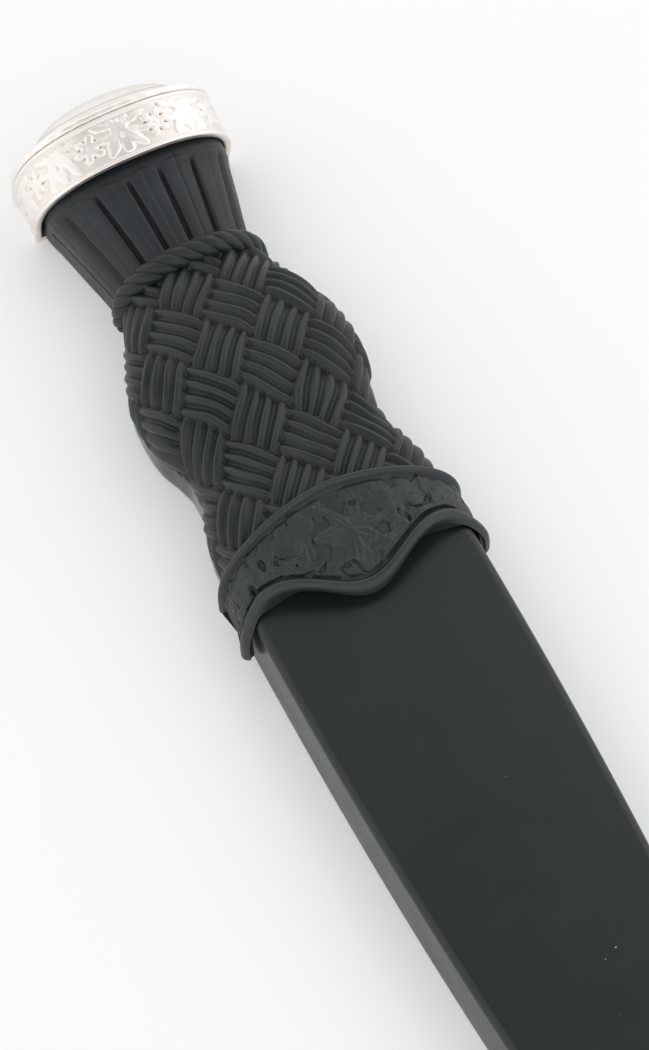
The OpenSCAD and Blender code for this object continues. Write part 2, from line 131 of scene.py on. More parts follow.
class Ripple:
    """Smooth seeded noise over two lengths, about -1 to 1."""

    def __init__(self, scale, n=14):
        a = rng.uniform(0, 2 * math.pi, n)
        k = rng.uniform(0.6, 1.6, n) * 2 * math.pi / scale
        self.kx, self.ky, self.p = k * np.cos(a), k * np.sin(a), rng.uniform(0, 2 * math.pi, n)
        self.n = n

    def __call__(self, u, v):
        total = sum(np.sin(a * u + b * v + p) for a, b, p in zip(self.kx, self.ky, self.p))
        return total / math.sqrt(self.n)


def hashed(i, j):
    """A fixed number from 0 to 1 for each pair of whole numbers."""
    v = np.sin(np.asarray(i) * 12.9898 + np.asarray(j) * 78.233 + 4.1) * 43758.5453
    return v - np.floor(v)


# ---- mesh helpers


def faces_of(rows, cols, wrap_cols=False, wrap_rows=False):
    """Quads over a grid of points."""
    r = np.arange(rows if wrap_rows else rows - 1)
    c = np.arange(cols if wrap_cols else cols - 1)
    r, c = np.meshgrid(r, c, indexing="ij")
    r, c = r.ravel(), c.ravel()
    r2, c2 = (r + 1) % rows, (c + 1) % cols
    return np.stack([r * cols + c, r2 * cols + c, r2 * cols + c2, r * cols + c2], 1)


def normals_of(p):
    """Outward unit normals of a grid of points whose rows go +Y and whose closed columns go +X, front, -X."""
    dr = np.gradient(p, axis=0)
    dc = (np.roll(p, -1, 1) - np.roll(p, 1, 1)) / 2
    n = np.cross(dr, dc)
    return n / np.maximum(np.linalg.norm(n, axis=2, keepdims=True), 1e-9)


def added(name, data):
    """A new object in the scene."""
    o = bpy.data.objects.new(name, data)
    bpy.context.scene.collection.objects.link(o)
    return o


def piece(name, blocks, body, material, replaced, sharp=None, relief=None):
    """One piece from blocks of (points in mm, faces). Edges of more than sharp degrees stay hard.

    relief is a height for each point, which the materials read to paint shade into the hollows: 0 in the
    hollows, 1 on the ridges.
    """
    points, quads, n = [], [], 0
    for p, f in blocks:
        p = np.asarray(p, float).reshape(-1, 3)
        points.append(p)
        quads += [[int(v) + n for v in q] for q in f]
        n += len(p)
    co = np.concatenate(points)
    co[:, 1] += SHIFT_Y
    mesh = bpy.data.meshes.new(name)
    mesh.from_pydata((co / 1000).tolist(), [], quads)
    if relief is not None:
        values = np.concatenate([np.ravel(r) for r in relief]).astype(np.float32)
        attribute = mesh.attributes.new("relief", "FLOAT", "POINT")
        attribute.data.foreach_set("value", values)
    mesh.validate()
    mesh.polygons.foreach_set("use_smooth", [True] * len(mesh.polygons))
    if sharp is not None:
        mesh.set_sharp_from_angle(angle=math.radians(sharp))
    mesh.update()
    mesh.materials.append(material)
    o = added(name, mesh)
    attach(o, body)
    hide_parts(*replaced)


def pressed(p, normals, down):
    """The grid's points moved along their normals, and held above the floor."""
    p = p + normals * down[:, :, None]
    p[:, :, 2] = np.maximum(p[:, :, 2], 0)
    return p


def closed_skin(p):
    """(points, faces) of a grid wrapped round, with both of its ends closed by fans."""
    rows, cols = p.shape[:2]
    f = faces_of(rows, cols, wrap_cols=True).tolist()
    flat = p.reshape(-1, 3)
    ends = [p[0].mean(0), p[-1].mean(0)]
    a, b = len(flat), len(flat) + 1
    for i in range(cols):
        j = (i + 1) % cols
        f.append([a, i, j])
        k = (rows - 1) * cols
        f.append([b, k + j, k + i])
    return np.concatenate([flat, ends]), f


# ---- materials


class Nodes:
    """A short way to write a material's nodes."""

    def __init__(self, name):
        self.material = bpy.data.materials.new(name)
        self.material.use_nodes = True
        self.tree = self.material.node_tree
        self.shader = self.tree.nodes["Principled BSDF"]
        self.coords = self.tree.nodes.new("ShaderNodeTexCoord").outputs["Object"]

    def add(self, kind, **values):
        node = self.tree.nodes.new("ShaderNode" + kind)
        for name, value in values.items():
            setattr(node, name, value)
        return node

    def feed(self, socket, value):
        """Gives a socket a number, a colour, or a link from another node's output."""
        if isinstance(value, (int, float)):
            socket.default_value = value
        elif isinstance(value, tuple):
            socket.default_value = (*value, 1)
        else:
            self.tree.links.new(value, socket)

    def noise(self, scale, detail, rough=0.55, stretch=(1, 1, 1)):
        mapping = self.add("Mapping")
        mapping.inputs["Scale"].default_value = stretch
        self.feed(mapping.inputs["Vector"], self.coords)
        n = self.add("TexNoise")
        for name, value in (("Scale", scale), ("Detail", detail), ("Roughness", rough)):
            self.feed(n.inputs[name], value)
        self.feed(n.inputs["Vector"], mapping.outputs["Vector"])
        return n.outputs["Fac"]

    def spots(self, scale, size, soft=0.02):
        """1 in small round spots, 0 elsewhere."""
        v = self.add("TexVoronoi", feature="F1")
        self.feed(v.inputs["Scale"], scale)
        self.feed(v.inputs["Vector"], self.coords)
        return self.span(v.outputs["Distance"], size, size + soft, 1, 0)

    def cloud(self, scale, detail, lo, hi):
        """Soft patches of noise, between lo and hi."""
        return self.span(self.noise(scale, detail), 0.3, 0.7, lo, hi)

    def span(self, value, a, b, lo, hi):
        """The value from a to b turned into lo to hi, and held there beyond."""
        n = self.add("MapRange", clamp=True)
        for name, v in zip(("Value", "From Min", "From Max", "To Min", "To Max"), (value, a, b, lo, hi)):
            self.feed(n.inputs[name], v)
        return n.outputs["Result"]

    def math(self, operation, a, b):
        n = self.add("Math", operation=operation)
        self.feed(n.inputs[0], a)
        self.feed(n.inputs[1], b)
        return n.outputs[0]

    def mix(self, fac, a, b):
        n = self.add("Mix", data_type="RGBA")
        for socket, v in ((0, fac), (6, a), (7, b)):  # 6 and 7 are the two colours
            self.feed(n.inputs[socket], v)
        return n.outputs[2]

    def relief(self):
        """The mesh's own relief, as piece() stores it."""
        n = self.add("Attribute", attribute_type="GEOMETRY", attribute_name="relief")
        return n.outputs["Fac"]

    def bump(self, height, distance, strength=1.0, under=None):
        n = self.add("Bump")
        for name, v in (("Distance", distance), ("Strength", strength), ("Height", height)):
            self.feed(n.inputs[name], v)
        if under is not None:
            self.feed(n.inputs["Normal"], under)
        return n.outputs["Normal"]

    def set(self, name, value):
        self.feed(self.shader.inputs[name], value)


def black_plastic(name, dark, light, rough, spec=0.5, dust=0.0, relief=False, grain=1.0, painted_hollow_shade=0.5):
    """Satin black moulded plastic. With relief, its hollows are duller than the ridges, and their colour is
    darker by the given factor: painted shade.
    """
    n = Nodes(name)
    colour = n.mix(n.cloud(90, 4, 0, 1), dark, light)
    roughness = n.cloud(260, 3, *rough)
    if relief:
        height = n.span(n.relief(), 0.0, 1.0, 0.0, 1.0)
        # painted shade: where the relief is low, the colour goes darker
        colour = n.mix(height, tuple(v * painted_hollow_shade for v in dark), colour)
        roughness = n.math("ADD", roughness, n.span(height, 0, 1, 0.14, -0.02))
        gloss = n.span(n.relief(), 1.1, 1.5, 0, 0.2)  # only the grip's smooth sides have a relief over 1
        roughness = n.math("SUBTRACT", roughness, gloss)
    if dust:
        speck = n.math("MULTIPLY", n.spots(190, 0.016, 0.01), n.span(n.noise(55, 2), 0.5, 0.58, 0, 1))
        colour = n.mix(n.math("MULTIPLY", speck, dust), colour, (0.42, 0.42, 0.4))
        roughness = n.math("ADD", roughness, n.math("MULTIPLY", speck, 0.3))
    n.set("Base Color", colour)
    n.set("Roughness", roughness)
    n.set("Specular IOR Level", spec)
    fine = n.bump(n.noise(2600, 2, 0.6), 0.00002, 0.5 * grain)
    n.set("Normal", n.bump(n.noise(420, 3), 0.00006, 0.35 * grain, fine))
    return n.material


def silver(name, bright, shade, rough):
    """Worn silver, which is duller in the hollows of its relief and takes the brown shade colour there as
    painted shade.
    """
    n = Nodes(name)
    tint = n.mix(n.span(n.noise(160, 4), 0.35, 0.7, 0, 1), bright, tuple(v * 0.93 for v in bright))
    height = n.span(n.relief(), 0.0, 0.42, 0.0, 1.0)
    # painted shade: where the relief is low, the colour turns to the shade colour
    n.set("Base Color", n.mix(height, shade, tint))
    n.set("Metallic", 1.0)
    n.set("Roughness", n.math("ADD", n.cloud(340, 3, *rough), n.span(height, 0, 1, 0.25, 0.0)))
    fine = n.bump(n.noise(1800, 2), 0.00002, 0.4)
    n.set("Normal", n.bump(n.noise(500, 2), 0.00005, 0.3, fine))
    return n.material


def ground_steel(name, bright, dark, stretch, scale, rough):
    """Steel with fine grinding lines, which run along the axis whose stretch is smallest."""
    n = Nodes(name)
    lines = n.noise(900 * scale, 4, 0.7, stretch)
    n.set("Base Color", n.mix(n.span(n.noise(70, 3), 0.35, 0.7, 0, 1), bright, dark))
    n.set("Metallic", 1.0)
    n.set("Roughness", n.span(lines, 0.3, 0.7, *rough))
    n.set("Normal", n.bump(lines, 0.00004, 0.35))
    return n.material


def leather(name):
    """Plain tanned leather with darker pores."""
    n = Nodes(name)
    pores = n.add("TexVoronoi", feature="DISTANCE_TO_EDGE")
    n.feed(pores.inputs["Scale"], 900)
    n.feed(pores.inputs["Vector"], n.coords)
    grain = n.span(pores.outputs["Distance"], 0.0, 0.2, 0, 1)
    hide = n.mix(n.cloud(120, 4, 0, 1), (0.3, 0.2, 0.12), (0.38, 0.27, 0.17))
    n.set("Base Color", n.mix(grain, (0.16, 0.1, 0.055), hide))
    n.set("Roughness", n.cloud(300, 3, 0.6, 0.8))
    n.set("Normal", n.bump(grain, 0.00006, 0.6))
    return n.material


def brass(name):
    """Brass that is bright where it is worn and dark elsewhere."""
    n = Nodes(name)
    worn = n.span(n.noise(150, 5), 0.35, 0.65, 0, 1)
    n.set("Base Color", n.mix(worn, (0.42, 0.3, 0.14), (0.78, 0.6, 0.32)))
    n.set("Metallic", 1.0)
    n.set("Roughness", n.span(worn, 0, 1, 0.5, 0.28))
    n.set("Normal", n.bump(n.noise(900, 3, 0.6, (1, 0.1, 1)), 0.00004, 0.4))
    return n.material


INK = (0.0115, 0.0166, 0.0177)
INK_LIGHT = (0.0175, 0.0244, 0.0262)
MAT_SHEATH = black_plastic("sheath_plastic", (0.0072, 0.0122, 0.0122), (0.0095, 0.0152, 0.0152), (0.27, 0.33),
                           0.42, dust=0.8, grain=0.25)
MAT_GRIP = black_plastic("grip_plastic", INK, INK_LIGHT, (0.36, 0.46), 0.4, relief=True)
MAT_FERRULE = black_plastic("ferrule_plastic", (0.0145, 0.0212, 0.0218), (0.019, 0.027, 0.0275), (0.38, 0.48),
                            dust=0.6, relief=True, painted_hollow_shade=0.8)
MAT_NECK = black_plastic("neck_plastic", (0.012, 0.0155, 0.0170), (0.0160, 0.0210, 0.0235), (0.42, 0.52), 0.38,
                         relief=True)
MAT_CORD = black_plastic("cord_plastic", INK, INK_LIGHT, (0.4, 0.5), 0.38, relief=True)
MAT_THROAT = black_plastic("throat_plastic", (0.02, 0.021, 0.023), (0.03, 0.031, 0.033), (0.5, 0.65))
# each silver's second colour is the painted shade of its hollows
MAT_SILVER = silver("embossed_silver", (0.925, 0.885, 0.85), (0.58, 0.46, 0.36), (0.42, 0.54))
# the dome and the sleeve's pins use a darker copy of the silver
MAT_DOME = silver("dome_silver_darker", (0.80, 0.765, 0.73), (0.56, 0.46, 0.37), (0.34, 0.46))
MAT_BLADE = ground_steel("blade_ground_steel", (0.66, 0.67, 0.68), (0.56, 0.57, 0.58), (0.02, 1, 0.4), 3.0,
                         (0.16, 0.3))
MAT_SPRING = ground_steel("spring_strip_steel", (0.6, 0.6, 0.6), (0.5, 0.5, 0.5), (1, 0.05, 1), 0.8,
                          (0.16, 0.3))
MAT_ZINC = ground_steel("zinc_plate", (0.56, 0.56, 0.58), (0.46, 0.46, 0.47), (1, 1, 1), 0.5, (0.3, 0.5))
MAT_LEATHER = leather("lining_leather")
MAT_BRASS = brass("guard_brass_worn")


def dress(node, material):
    """Gives a CAD node its material."""
    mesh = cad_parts[node].data
    mesh.materials.clear()
    mesh.materials.append(material)


dress("throat_plate", MAT_THROAT)
for node in ("liner_front", "liner_back", "welt"):
    dress(node, MAT_LEATHER)
dress("retention_spring", MAT_SPRING)
dress("guard_plate", MAT_BRASS)
for node in ("tang_washer", "tang_nut"):
    dress(node, MAT_ZINC)
dress("sleeve_pins", MAT_DOME)


# ---- leaf relief


def turned(u, v, a):
    """(u, v) along and across the direction a."""
    return u * math.cos(a) + v * math.sin(a), -u * math.sin(a) + v * math.cos(a)


class Leaves:
    """A low relief of leaves, stems and berries on a plane of lengths u (across) and v (along), in mm."""

    def __init__(self):
        self.leaves = []
        self.stems = []  # (points, radius, height)
        self.berries = []  # (u, v, radius, height)
        self.pits = []  # (u, v, half-length, half-width, angle, depth)

    def leaf(self, u, v, angle, length, width, height=1.0, curl=0.0, base=0.0):
        self.leaves.append((u, v, math.radians(angle), length, width, height, curl, base))

    def height(self, u, v):
        h = np.zeros(np.broadcast(u, v).shape)
        for x, y, a, length, width, top, curl, base in self.leaves:
            s, c = turned(u - x, v - y, a)
            t = s / length
            near = (t > -0.02) & (t < 1.02) & (np.abs(c) < width * 1.8)
            c = c - curl * length * t * t
            lobes = 1 + 0.13 * np.sin(t * 15 + x)
            half = width * lobes * np.sqrt(unit(t)) * unit(1 - t) ** 0.6 * 1.55
            e = np.abs(c) / np.maximum(half, 1e-6)
            body = np.where(near & (half > 1e-3), unit(1 - e**2.2) ** 0.62, 0)
            vein = 0.3 * np.exp(-((c / 0.17) ** 2)) + 0.16 * np.abs(np.sin(e * 2.4 + t * 13)) * e
            lift = base + 0.35 * np.sin(unit(t) * math.pi * 0.8)
            blade = lift * smooth(0, 0.35, body) + top * 0.65 * (body - vein)
            h = np.maximum(h, np.where(body > 0.03, blade, 0))
        for points, r, top in self.stems:
            for (x0, y0), (x1, y1) in zip(points[:-1], points[1:]):
                dx, dy = x1 - x0, y1 - y0
                t = unit(((u - x0) * dx + (v - y0) * dy) / (dx * dx + dy * dy))
                d = np.hypot(u - x0 - t * dx, v - y0 - t * dy) / r
                h = np.maximum(h, top * np.sqrt(unit(1 - d * d)))
        for x, y, r, top in self.berries:
            d = np.hypot(u - x, v - y) / r
            h = np.maximum(h, top * unit(1 - d * d) ** 0.4)
        for x, y, rx, ry, a, depth in self.pits:
            s, c = turned(u - x, v - y, a)
            h = h - depth * smooth(1.25, 0.6, np.hypot(s / rx, c / ry))
        return h


def spiral(u, v, r, turn, start):
    """Points along a scroll that winds in towards (u, v) from radius r."""
    points = []
    for t in np.linspace(0, 1, 18):
        reach = r * (1 - 0.75 * t)
        angle = start + turn * 5.2 * t
        points.append((u + reach * math.cos(angle), v + reach * math.sin(angle)))
    return points


ROSETTE = (0.5, 4.0)
# leaves that fill the ground on both sides of the rosette: arc length, y, angle, length
FILLERS = (
    (3.2, 7.6, -12, 4.6), (6.0, 5.2, 24, 4.4), (8.6, 6.6, -20, 4.4), (3.6, 1.2, -30, 4.6), (9.0, 1.4, 14, 4.4),
    (12.6, 1.4, 30, 4.2), (12.4, 6.0, -28, 4.2), (5.2, 3.4, 70, 4.2), (2.0, 9.4, -20, 4.0),
)
# small deep places in the ferrule's relief: arc length, y, half-length, half-width, angle
PITS = (
    (-6.4, 1.9, 1.15, 0.42, 0.15), (-1.4, -0.7, 0.9, 0.38, -0.1), (4.6, -0.6, 0.75, 0.4, 0.6),
    (-1.6, 1.0, 0.42, 0.34, 0.4), (10.6, 4.6, 0.8, 0.34, 1.0), (10.2, 8.4, 1.3, 0.3, 0.1),
    (-10.9, 5.4, 0.4, 0.8, 0.2), (-13.2, 3.6, 0.35, 0.9, 0.3), (7.6, 3.1, 0.35, 0.8, 0.2),
    (2.3, 7.4, 0.5, 0.3, 0.0),
)


def ferrule_leaves():
    """A rosette between scrolls of leaves, which cover the band's ground nearly everywhere."""
    k = Leaves()
    for side in (-1, 1):
        for i, s in enumerate(np.arange(1.6, 19, 2.3)):  # small leaves behind, hanging from the upper bead
            angle = -90 + side * 24 + 22 * (hashed(i, side) - 0.5)
            k.leaf(side * s, float(arch_y(s * 0.9)) - 1.0, angle, 3.4, 1.15, 0.5, 0.08)
        for i, s in enumerate(np.arange(0.8, 18, 2.3)):  # and standing on the lip
            angle = 90 - side * 22 + 22 * (hashed(i, side + 5) - 0.5)
            k.leaf(side * s, float(bow_y(s * 0.95)) + 1.7, angle, 3.2, 1.1, 0.5, -0.08)
        for u, v, angle, length in FILLERS:
            k.leaf(side * u, v, 90 - side * 90 + side * angle, length, 1.7, 0.55, 0.08 * side)
    for i in range(7):
        k.leaf(*ROSETTE, 360 / 7 * i + 8, 5.0, 1.45, 0.7, 0.07, 0.1)
    for i in range(5):
        k.leaf(*ROSETTE, 72 * i + 40, 3.1, 1.5, 0.9, -0.04, 0.28)
    k.berries.append((*ROSETTE, 1.35, 1.0))
    for side in (-1, 1):
        for n, (s, y, r) in enumerate(((7.0, 2.2, 2.1), (11.2, 4.2, 2.0), (15.0, 2.6, 1.8))):
            turn = side * (1 if n % 2 == 0 else -1)
            for i in range(6):
                k.leaf(side * s, y, 60 * i + 25 * n + 14, 3.3, 1.05, 0.8, 0.12 * turn, 0.16)
            k.stems.append((spiral(side * s, y, r, turn, 2.2 - n), 0.42, 0.95))
            k.berries.append((side * s, y, 0.62, 1.1))
        for i in range(5):  # crossing straps at the wings' ends
            s = 16.3 + 0.95 * i
            k.stems.append(([(side * s, 0.2), (side * (s + 1.6), 7.4)], 0.4, 0.75 - 0.03 * i))
        k.stems.append(([(side * 19.6, 1.2), (side * 15.8, 6.2)], 0.42, 0.95))
    for pit in PITS:
        k.pits.append((*pit, 0.85))
    return k


# the leaves between two of the sleeve's flowers: arc length, v, angle, length, half-width, curl
SLEEVE_LEAVES = (
    (2.2, 0.1, 62, 6.2, 1.2, 0.10), (7.1, 0.1, 118, 6.2, 1.2, -0.10), (4.65, -0.2, 90, 5.6, 1.25, 0.0),
    (3.2, 6.2, -70, 3.6, 0.9, 0.12), (6.1, 6.2, -110, 3.6, 0.9, -0.12), (1.7, 3.0, 8, 3.4, 0.9, 0.14),
    (7.6, 3.0, 172, 3.4, 0.9, -0.14), (1.0, 5.9, -30, 2.8, 0.8, 0.1), (8.3, 5.9, 210, 2.8, 0.8, -0.1),
)
FLOWER_PITCH = 9.3


def sleeve_leaves():
    """Flowers of six petals between tall leaves, round the pommel's sleeve. v goes from 0 to 6."""
    k = Leaves()
    for n in range(-4, 5):
        u = n * FLOWER_PITCH + 4.4
        for i, (du, v, angle, length, width, curl) in enumerate(SLEEVE_LEAVES):
            turn = angle + 10 * (hashed(i, n) - 0.5)
            k.leaf(u + du, v, turn, length, width, 0.75, curl, 0.1 + 0.06 * (i % 3))
        for i in range(6):
            k.leaf(u, 3.1, 60 * i + 12, 2.35, 0.95, 1.0, 0.0, 0.2)
            a = math.radians(60 * i + 42)
            k.pits.append((u + 1.35 * math.cos(a), 3.1 + 1.35 * math.sin(a), 0.3, 0.24, a, 0.8))
        k.berries.append((u, 3.1, 0.6, 1.1))
        k.pits.append((u + 4.65, 3.0, 0.5, 0.22, 1.4, 0.5))
    return k


# ---- grip

# y, half-width, thickness
GRIP = np.array([
    [7.4, 14.6, 13.2], [11.5, 14.5, 13.2], [16, 13.7, 13.1], [19, 12.7, 12.8], [22, 12.6, 12.8],
    [25, 13.3, 13.1], [28, 14.4, 13.6], [30, 14.7, 13.9], [32, 14.8, 14.0], [34.5, 14.7, 14.0],
    [37, 14.2, 13.9], [40, 13.2, 13.6], [43, 12.0, 13.1], [45.5, 10.9, 12.6], [47.4, 10.2, 12.1],
    [49.3, 9.8, 11.9],
])
STRIP_Z = 4.6  # the weave stops at this height on the sides
PROUD = 0.3  # how far its highest strands stand out


def eased(table, y):
    """Smooth values between the rows of a table, without overshoot (a cubic with limited slopes)."""
    x, v = table[:, 0], table[:, 1:]
    h, d = np.diff(x), np.diff(v, axis=0) / np.diff(x)[:, None]
    m = np.zeros_like(v)
    same = d[1:] * d[:-1] > 0
    m[1:-1] = np.where(same, 2 * d[1:] * d[:-1] / np.where(same, d[1:] + d[:-1], 1), 0)
    m[0], m[-1] = d[0], d[-1]
    i = np.clip(np.searchsorted(x, y) - 1, 0, len(h) - 1)
    s = ((y - x[i]) / h[i])[:, None]
    hh = h[i][:, None]
    return (
        (2 * s**3 - 3 * s**2 + 1) * v[i] + (s**3 - 2 * s**2 + s) * hh * m[i]
        + (-2 * s**3 + 3 * s**2) * v[i + 1] + (s**3 - s**2) * hh * m[i + 1]
    )


# the weave's bands cross on the diagonals of cells: their width, height, and the place of one of them
CELL_A = 4.25
CELL_B = 5.3
CELL_U = -2.5
CELL_Y = 23.4
ARCH = 0.5  # the rise of a band over the one it crosses
RIDGE = 0.62  # the rise of one strand
weave_bend_u = Ripple(9)
weave_bend_y = Ripple(8)


def strands(across, band, other):
    """Rounded strands, four to a band, from the band's own crosswise place of -0.5 to 0.5."""
    t = (across + 0.5) * 4
    lane = np.clip(np.floor(t), 0, 3)
    f = unit(np.abs(2 * (t - lane) - 1) * 1.04)
    lift = 0.16 * (hashed(band * 4 + lane, other) - 0.5)
    return RIDGE * (0.5 + 0.5 * np.cos(math.pi * f)) ** 0.62 + lift * (1 - f * f)


def weave(u, y):
    """Height of the basket weave at arc length u and y, from about -0.5 in the pits to 1 on the blocks."""
    bu = u + 0.13 * weave_bend_u(u, y)
    by = y + 0.13 * weave_bend_y(u, y)
    a, b = (bu - CELL_U) / CELL_A, (by - CELL_Y) / CELL_B
    p, q = (a + b) / 2, (a - b) / 2
    row, col = np.round(p), np.round(q)
    over_rise = np.cos(math.pi * p) * np.where(col % 2 == 0, 1, -1)
    over_fall = -np.cos(math.pi * q) * np.where(row % 2 == 0, 1, -1)
    rise = ARCH * spow(over_rise, 0.6) + strands(q - col, col, row)
    fall = ARCH * spow(over_fall, 0.6) + strands(p - row, row + 50, col)
    return np.maximum(rise, fall)


def make_grip():
    fine, coarse, rows = ((310, 16, 280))
    y = np.linspace(GRIP[0, 0], GRIP[-1, 0], rows)
    size = eased(GRIP, y)
    shares = front_shares(fine, coarse, 0.68)
    x, z, arc = loft(size, shares)
    yy = np.repeat(y[:, None], len(shares), 1)
    p = np.stack([x, yy, z], 2)
    h = weave(arc, yy)
    edge = STRIP_Z + 1.6 * np.exp(-(((yy - 20) / 7.5) ** 2)) + 0.12 * weave_bend_u(yy, 0 * yy)
    on = smooth(edge - 0.15, edge + 0.25, z)
    calm = 0.5 + 0.5 * smooth(5.5, 10, z)  # the strands are lower down the sides
    down = np.where(on > 0, on * ((h - ARCH - RIDGE) * calm + PROUD * calm) + (1 - on) * -0.1, -0.1)
    down -= 1.1 * smooth(-0.3, -1.1, yy - arch_y(x)) * smooth(3, 6, z)  # under the ferrule
    down *= np.where(z < 0.02, 0, 1)
    # the relief is low in the weave's valleys and under the ferrule, where the plastic takes painted shade
    relief = np.where(on < 0.5, 1.6, unit((down + 0.95) / 1.1))
    p = pressed(p, normals_of(p), down)
    foot = []  # the grip's hidden end, inside the ferrule
    for foot_y, w, t, z0 in ((6.0, 13.1, 10.4, 1.4), (6.2, 13.35, 10.75, 1.25), (7.3, 13.35, 10.75, 1.25)):
        foot.append(d_ring(w, t, foot_y, shares, z0))
    p = np.concatenate([foot, p])
    relief = np.concatenate([np.full((3, len(shares)), 0.6), relief])
    piece("grip_woven", [closed_skin(p)], "knife", MAT_GRIP, ("grip",),
          relief=[relief, [0.6, 0.6]])


# ---- twisted collar

COLLAR_Y = 49.3
COLLAR_W = 9.1
COLLAR_T = 11.9
CORD_R = 1.66
LAY = 7.6  # the length of cord in which a strand goes once round
STRANDS = 4


def make_collar():
    along, round_ = ((420, 108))
    x, z = d_section(COLLAR_W, COLLAR_T, 4000, span=(-3.2, 183.2))
    step = lengths(x, z)
    t = np.linspace(0, step[-1], along)
    x, z = np.interp(t, step, x), np.interp(t, step, z)
    for _ in range(6):
        x[1:-1], z[1:-1] = (x[:-2] + 2 * x[1:-1] + x[2:]) / 4, (z[:-2] + 2 * z[1:-1] + z[2:]) / 4
    dx, dz = np.gradient(x), np.gradient(z)
    n = np.hypot(dx, dz)
    ox, oz = dz / n, -dx / n
    b = np.linspace(0, 2 * math.pi, round_, endpoint=False)
    phase = b[None, :] - 2 * math.pi * t[:, None] / LAY
    f = (phase / (2 * math.pi / STRANDS)) % 1 * 2 - 1
    lobe = unit(1 - np.abs(f) ** 2.0) ** 0.6
    r = CORD_R * (0.80 + 0.20 * lobe)
    end = np.minimum(t, step[-1] - t)
    r = r * np.sqrt(np.clip(1 - (1 - unit(end / 0.9)) ** 2, 0.02, 1))[:, None]
    p = np.stack([
        x[:, None] + ox[:, None] * r * np.cos(b)[None, :],
        COLLAR_Y + r * np.sin(b)[None, :],
        z[:, None] + oz[:, None] * r * np.cos(b)[None, :],
    ], 2)
    # the relief is low between the strands, where the cord takes painted shade
    relief = (0.15 + 0.85 * lobe)[::-1, ::-1]
    piece("collar_rope", [closed_skin(p[::-1, ::-1])], "knife", MAT_CORD, ("twist_collar",),
          relief=[relief, [0.5, 0.5]])


# ---- neck

LEAN = math.radians(15)  # the pommel's tilt towards the front
# the pommel's sleeve: its lower rim's y at the front, thickness, half-width and height
SLEEVE_Y = 63.6
SLEEVE_T = 15.4
SLEEVE_W = 13.9
SLEEVE_H = 6.6
# y, half-width, thickness, share of the lean, height that the lean pivots about
NECK = np.array([
    [49.3, 9.4, 11.9, 0.0, 11.9], [50.7, 9.4, 11.9, 0.1, 11.9], [53.3, 9.9, 12.3, 0.3, 12.3],
    [57.0, 10.9, 12.9, 0.55, 13.8], [60.6, 11.9, 13.4, 0.8, 15.4], [62.1, 12.4, 13.9, 0.9, 15.4],
    [63.0, 12.6, 13.9, 1.0, 15.4], [63.57, 12.6, 13.9, 1.0, 15.4], [64.2, 12.6, 13.9, 1.0, 15.4],
])
FLUTES = (0.18, 0.56, 0.97)  # the grooves' places, as shares of the half-width, by arc length


def make_neck():
    fine, coarse, rows = ((420, 24, 170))
    y = np.linspace(NECK[0, 0], NECK[-1, 0], rows)
    size = eased(NECK, y)
    shares = front_shares(fine, coarse, 0.7)
    x, z, arc = loft(size, shares)
    own_y = np.repeat(y[:, None], len(shares), 1)
    share, pivot = size[:, 2:3], size[:, 3:4]
    p = np.stack([x, own_y + (pivot - z) * share * math.tan(LEAN), z], 2)
    half = size[:, :1]
    u = np.abs(arc) / half
    edges = [-FLUTES[0], *FLUTES, FLUTES[-1] + 0.42]
    cut = np.zeros_like(u)
    rib = np.zeros_like(u)
    petal_top = np.zeros_like(u)
    for lo, hi in zip(edges[:-1], edges[1:]):
        t = (u - lo) / (hi - lo)
        inside = (t >= 0) & (t < 1)
        arch = unit(1 - np.abs(2 * t - 1) ** 2.5)
        rib = np.where(inside, arch**0.6, rib)
        petal_top = np.where(inside, 60.4 + 1.5 * np.sqrt(unit(1 - (2 * t - 1) ** 2)), petal_top)
        middle = 0.07 * np.exp(-(((t - 0.5) / 0.05) ** 2))
        cut = np.where(inside, middle, cut)
    for k, g in enumerate(FLUTES):
        d = np.abs(u - g) * half
        wide = (0.34 if k < 2 else 0.55) * (0.75 + 0.25 * smooth(62, 54, own_y))
        depth = 0.62 if k < 2 else 0.35
        ends = smooth(61.9, 60.2, own_y) * smooth(49.6, 50.6, own_y)
        cut = cut + depth * np.exp(-((d / wide) ** 2)) * ends
    beyond = u >= edges[-1]
    rib = np.where(beyond, 1, rib)
    petal_top = np.where(beyond, 61.9, petal_top)
    under = smooth(0.0, 0.45, own_y - petal_top) * 0.13
    swell = 0.16 * (rib - 1) * smooth(62.2, 60.2, own_y)
    down = swell - cut - under
    down *= smooth(1.8, 4.2, z)  # the back is plain
    p = pressed(p, normals_of(p), down)
    # the relief is low in the flutes and in the band under the sleeve, where the plastic takes painted shade
    relief = unit(1 + down / 0.95)
    plug = []  # the neck's hidden end, inside the sleeve
    for y1, w, t in ((64.3, 12.5, 13.6), (66.5, 12.5, 13.6)):
        ring = d_ring(w, t, y1, shares)
        ring[:, 1] += (SLEEVE_T - ring[:, 2]) * math.tan(LEAN)
        ring[:, 2] = np.maximum(ring[:, 2], 1.2)
        plug.append(ring)
    p = np.concatenate([p, plug])
    relief = np.concatenate([relief, np.full((2, len(shares)), 0.4)])
    piece("neck_fluted", [closed_skin(p)], "knife", MAT_NECK, ("neck",),
          relief=[relief, [0.5, 0.5]])


# ---- ferrule

BAND_W = 15.8  # the band's half-width
BAND_POWER = 2.6
BAND_TOP = 14.2  # its height at the top of its arch
BAND_RISE = 0.18  # its plain slope down from there
BAND_BEND = 0.034  # its further bend below the sheath's mouth
WING_Z = 2.5  # the height where its wings end
THIN = 9.8  # the two heights between which its section is worked out
THICK = 14.4
BAND_SHARES = np.linspace(0, 1, 1201)
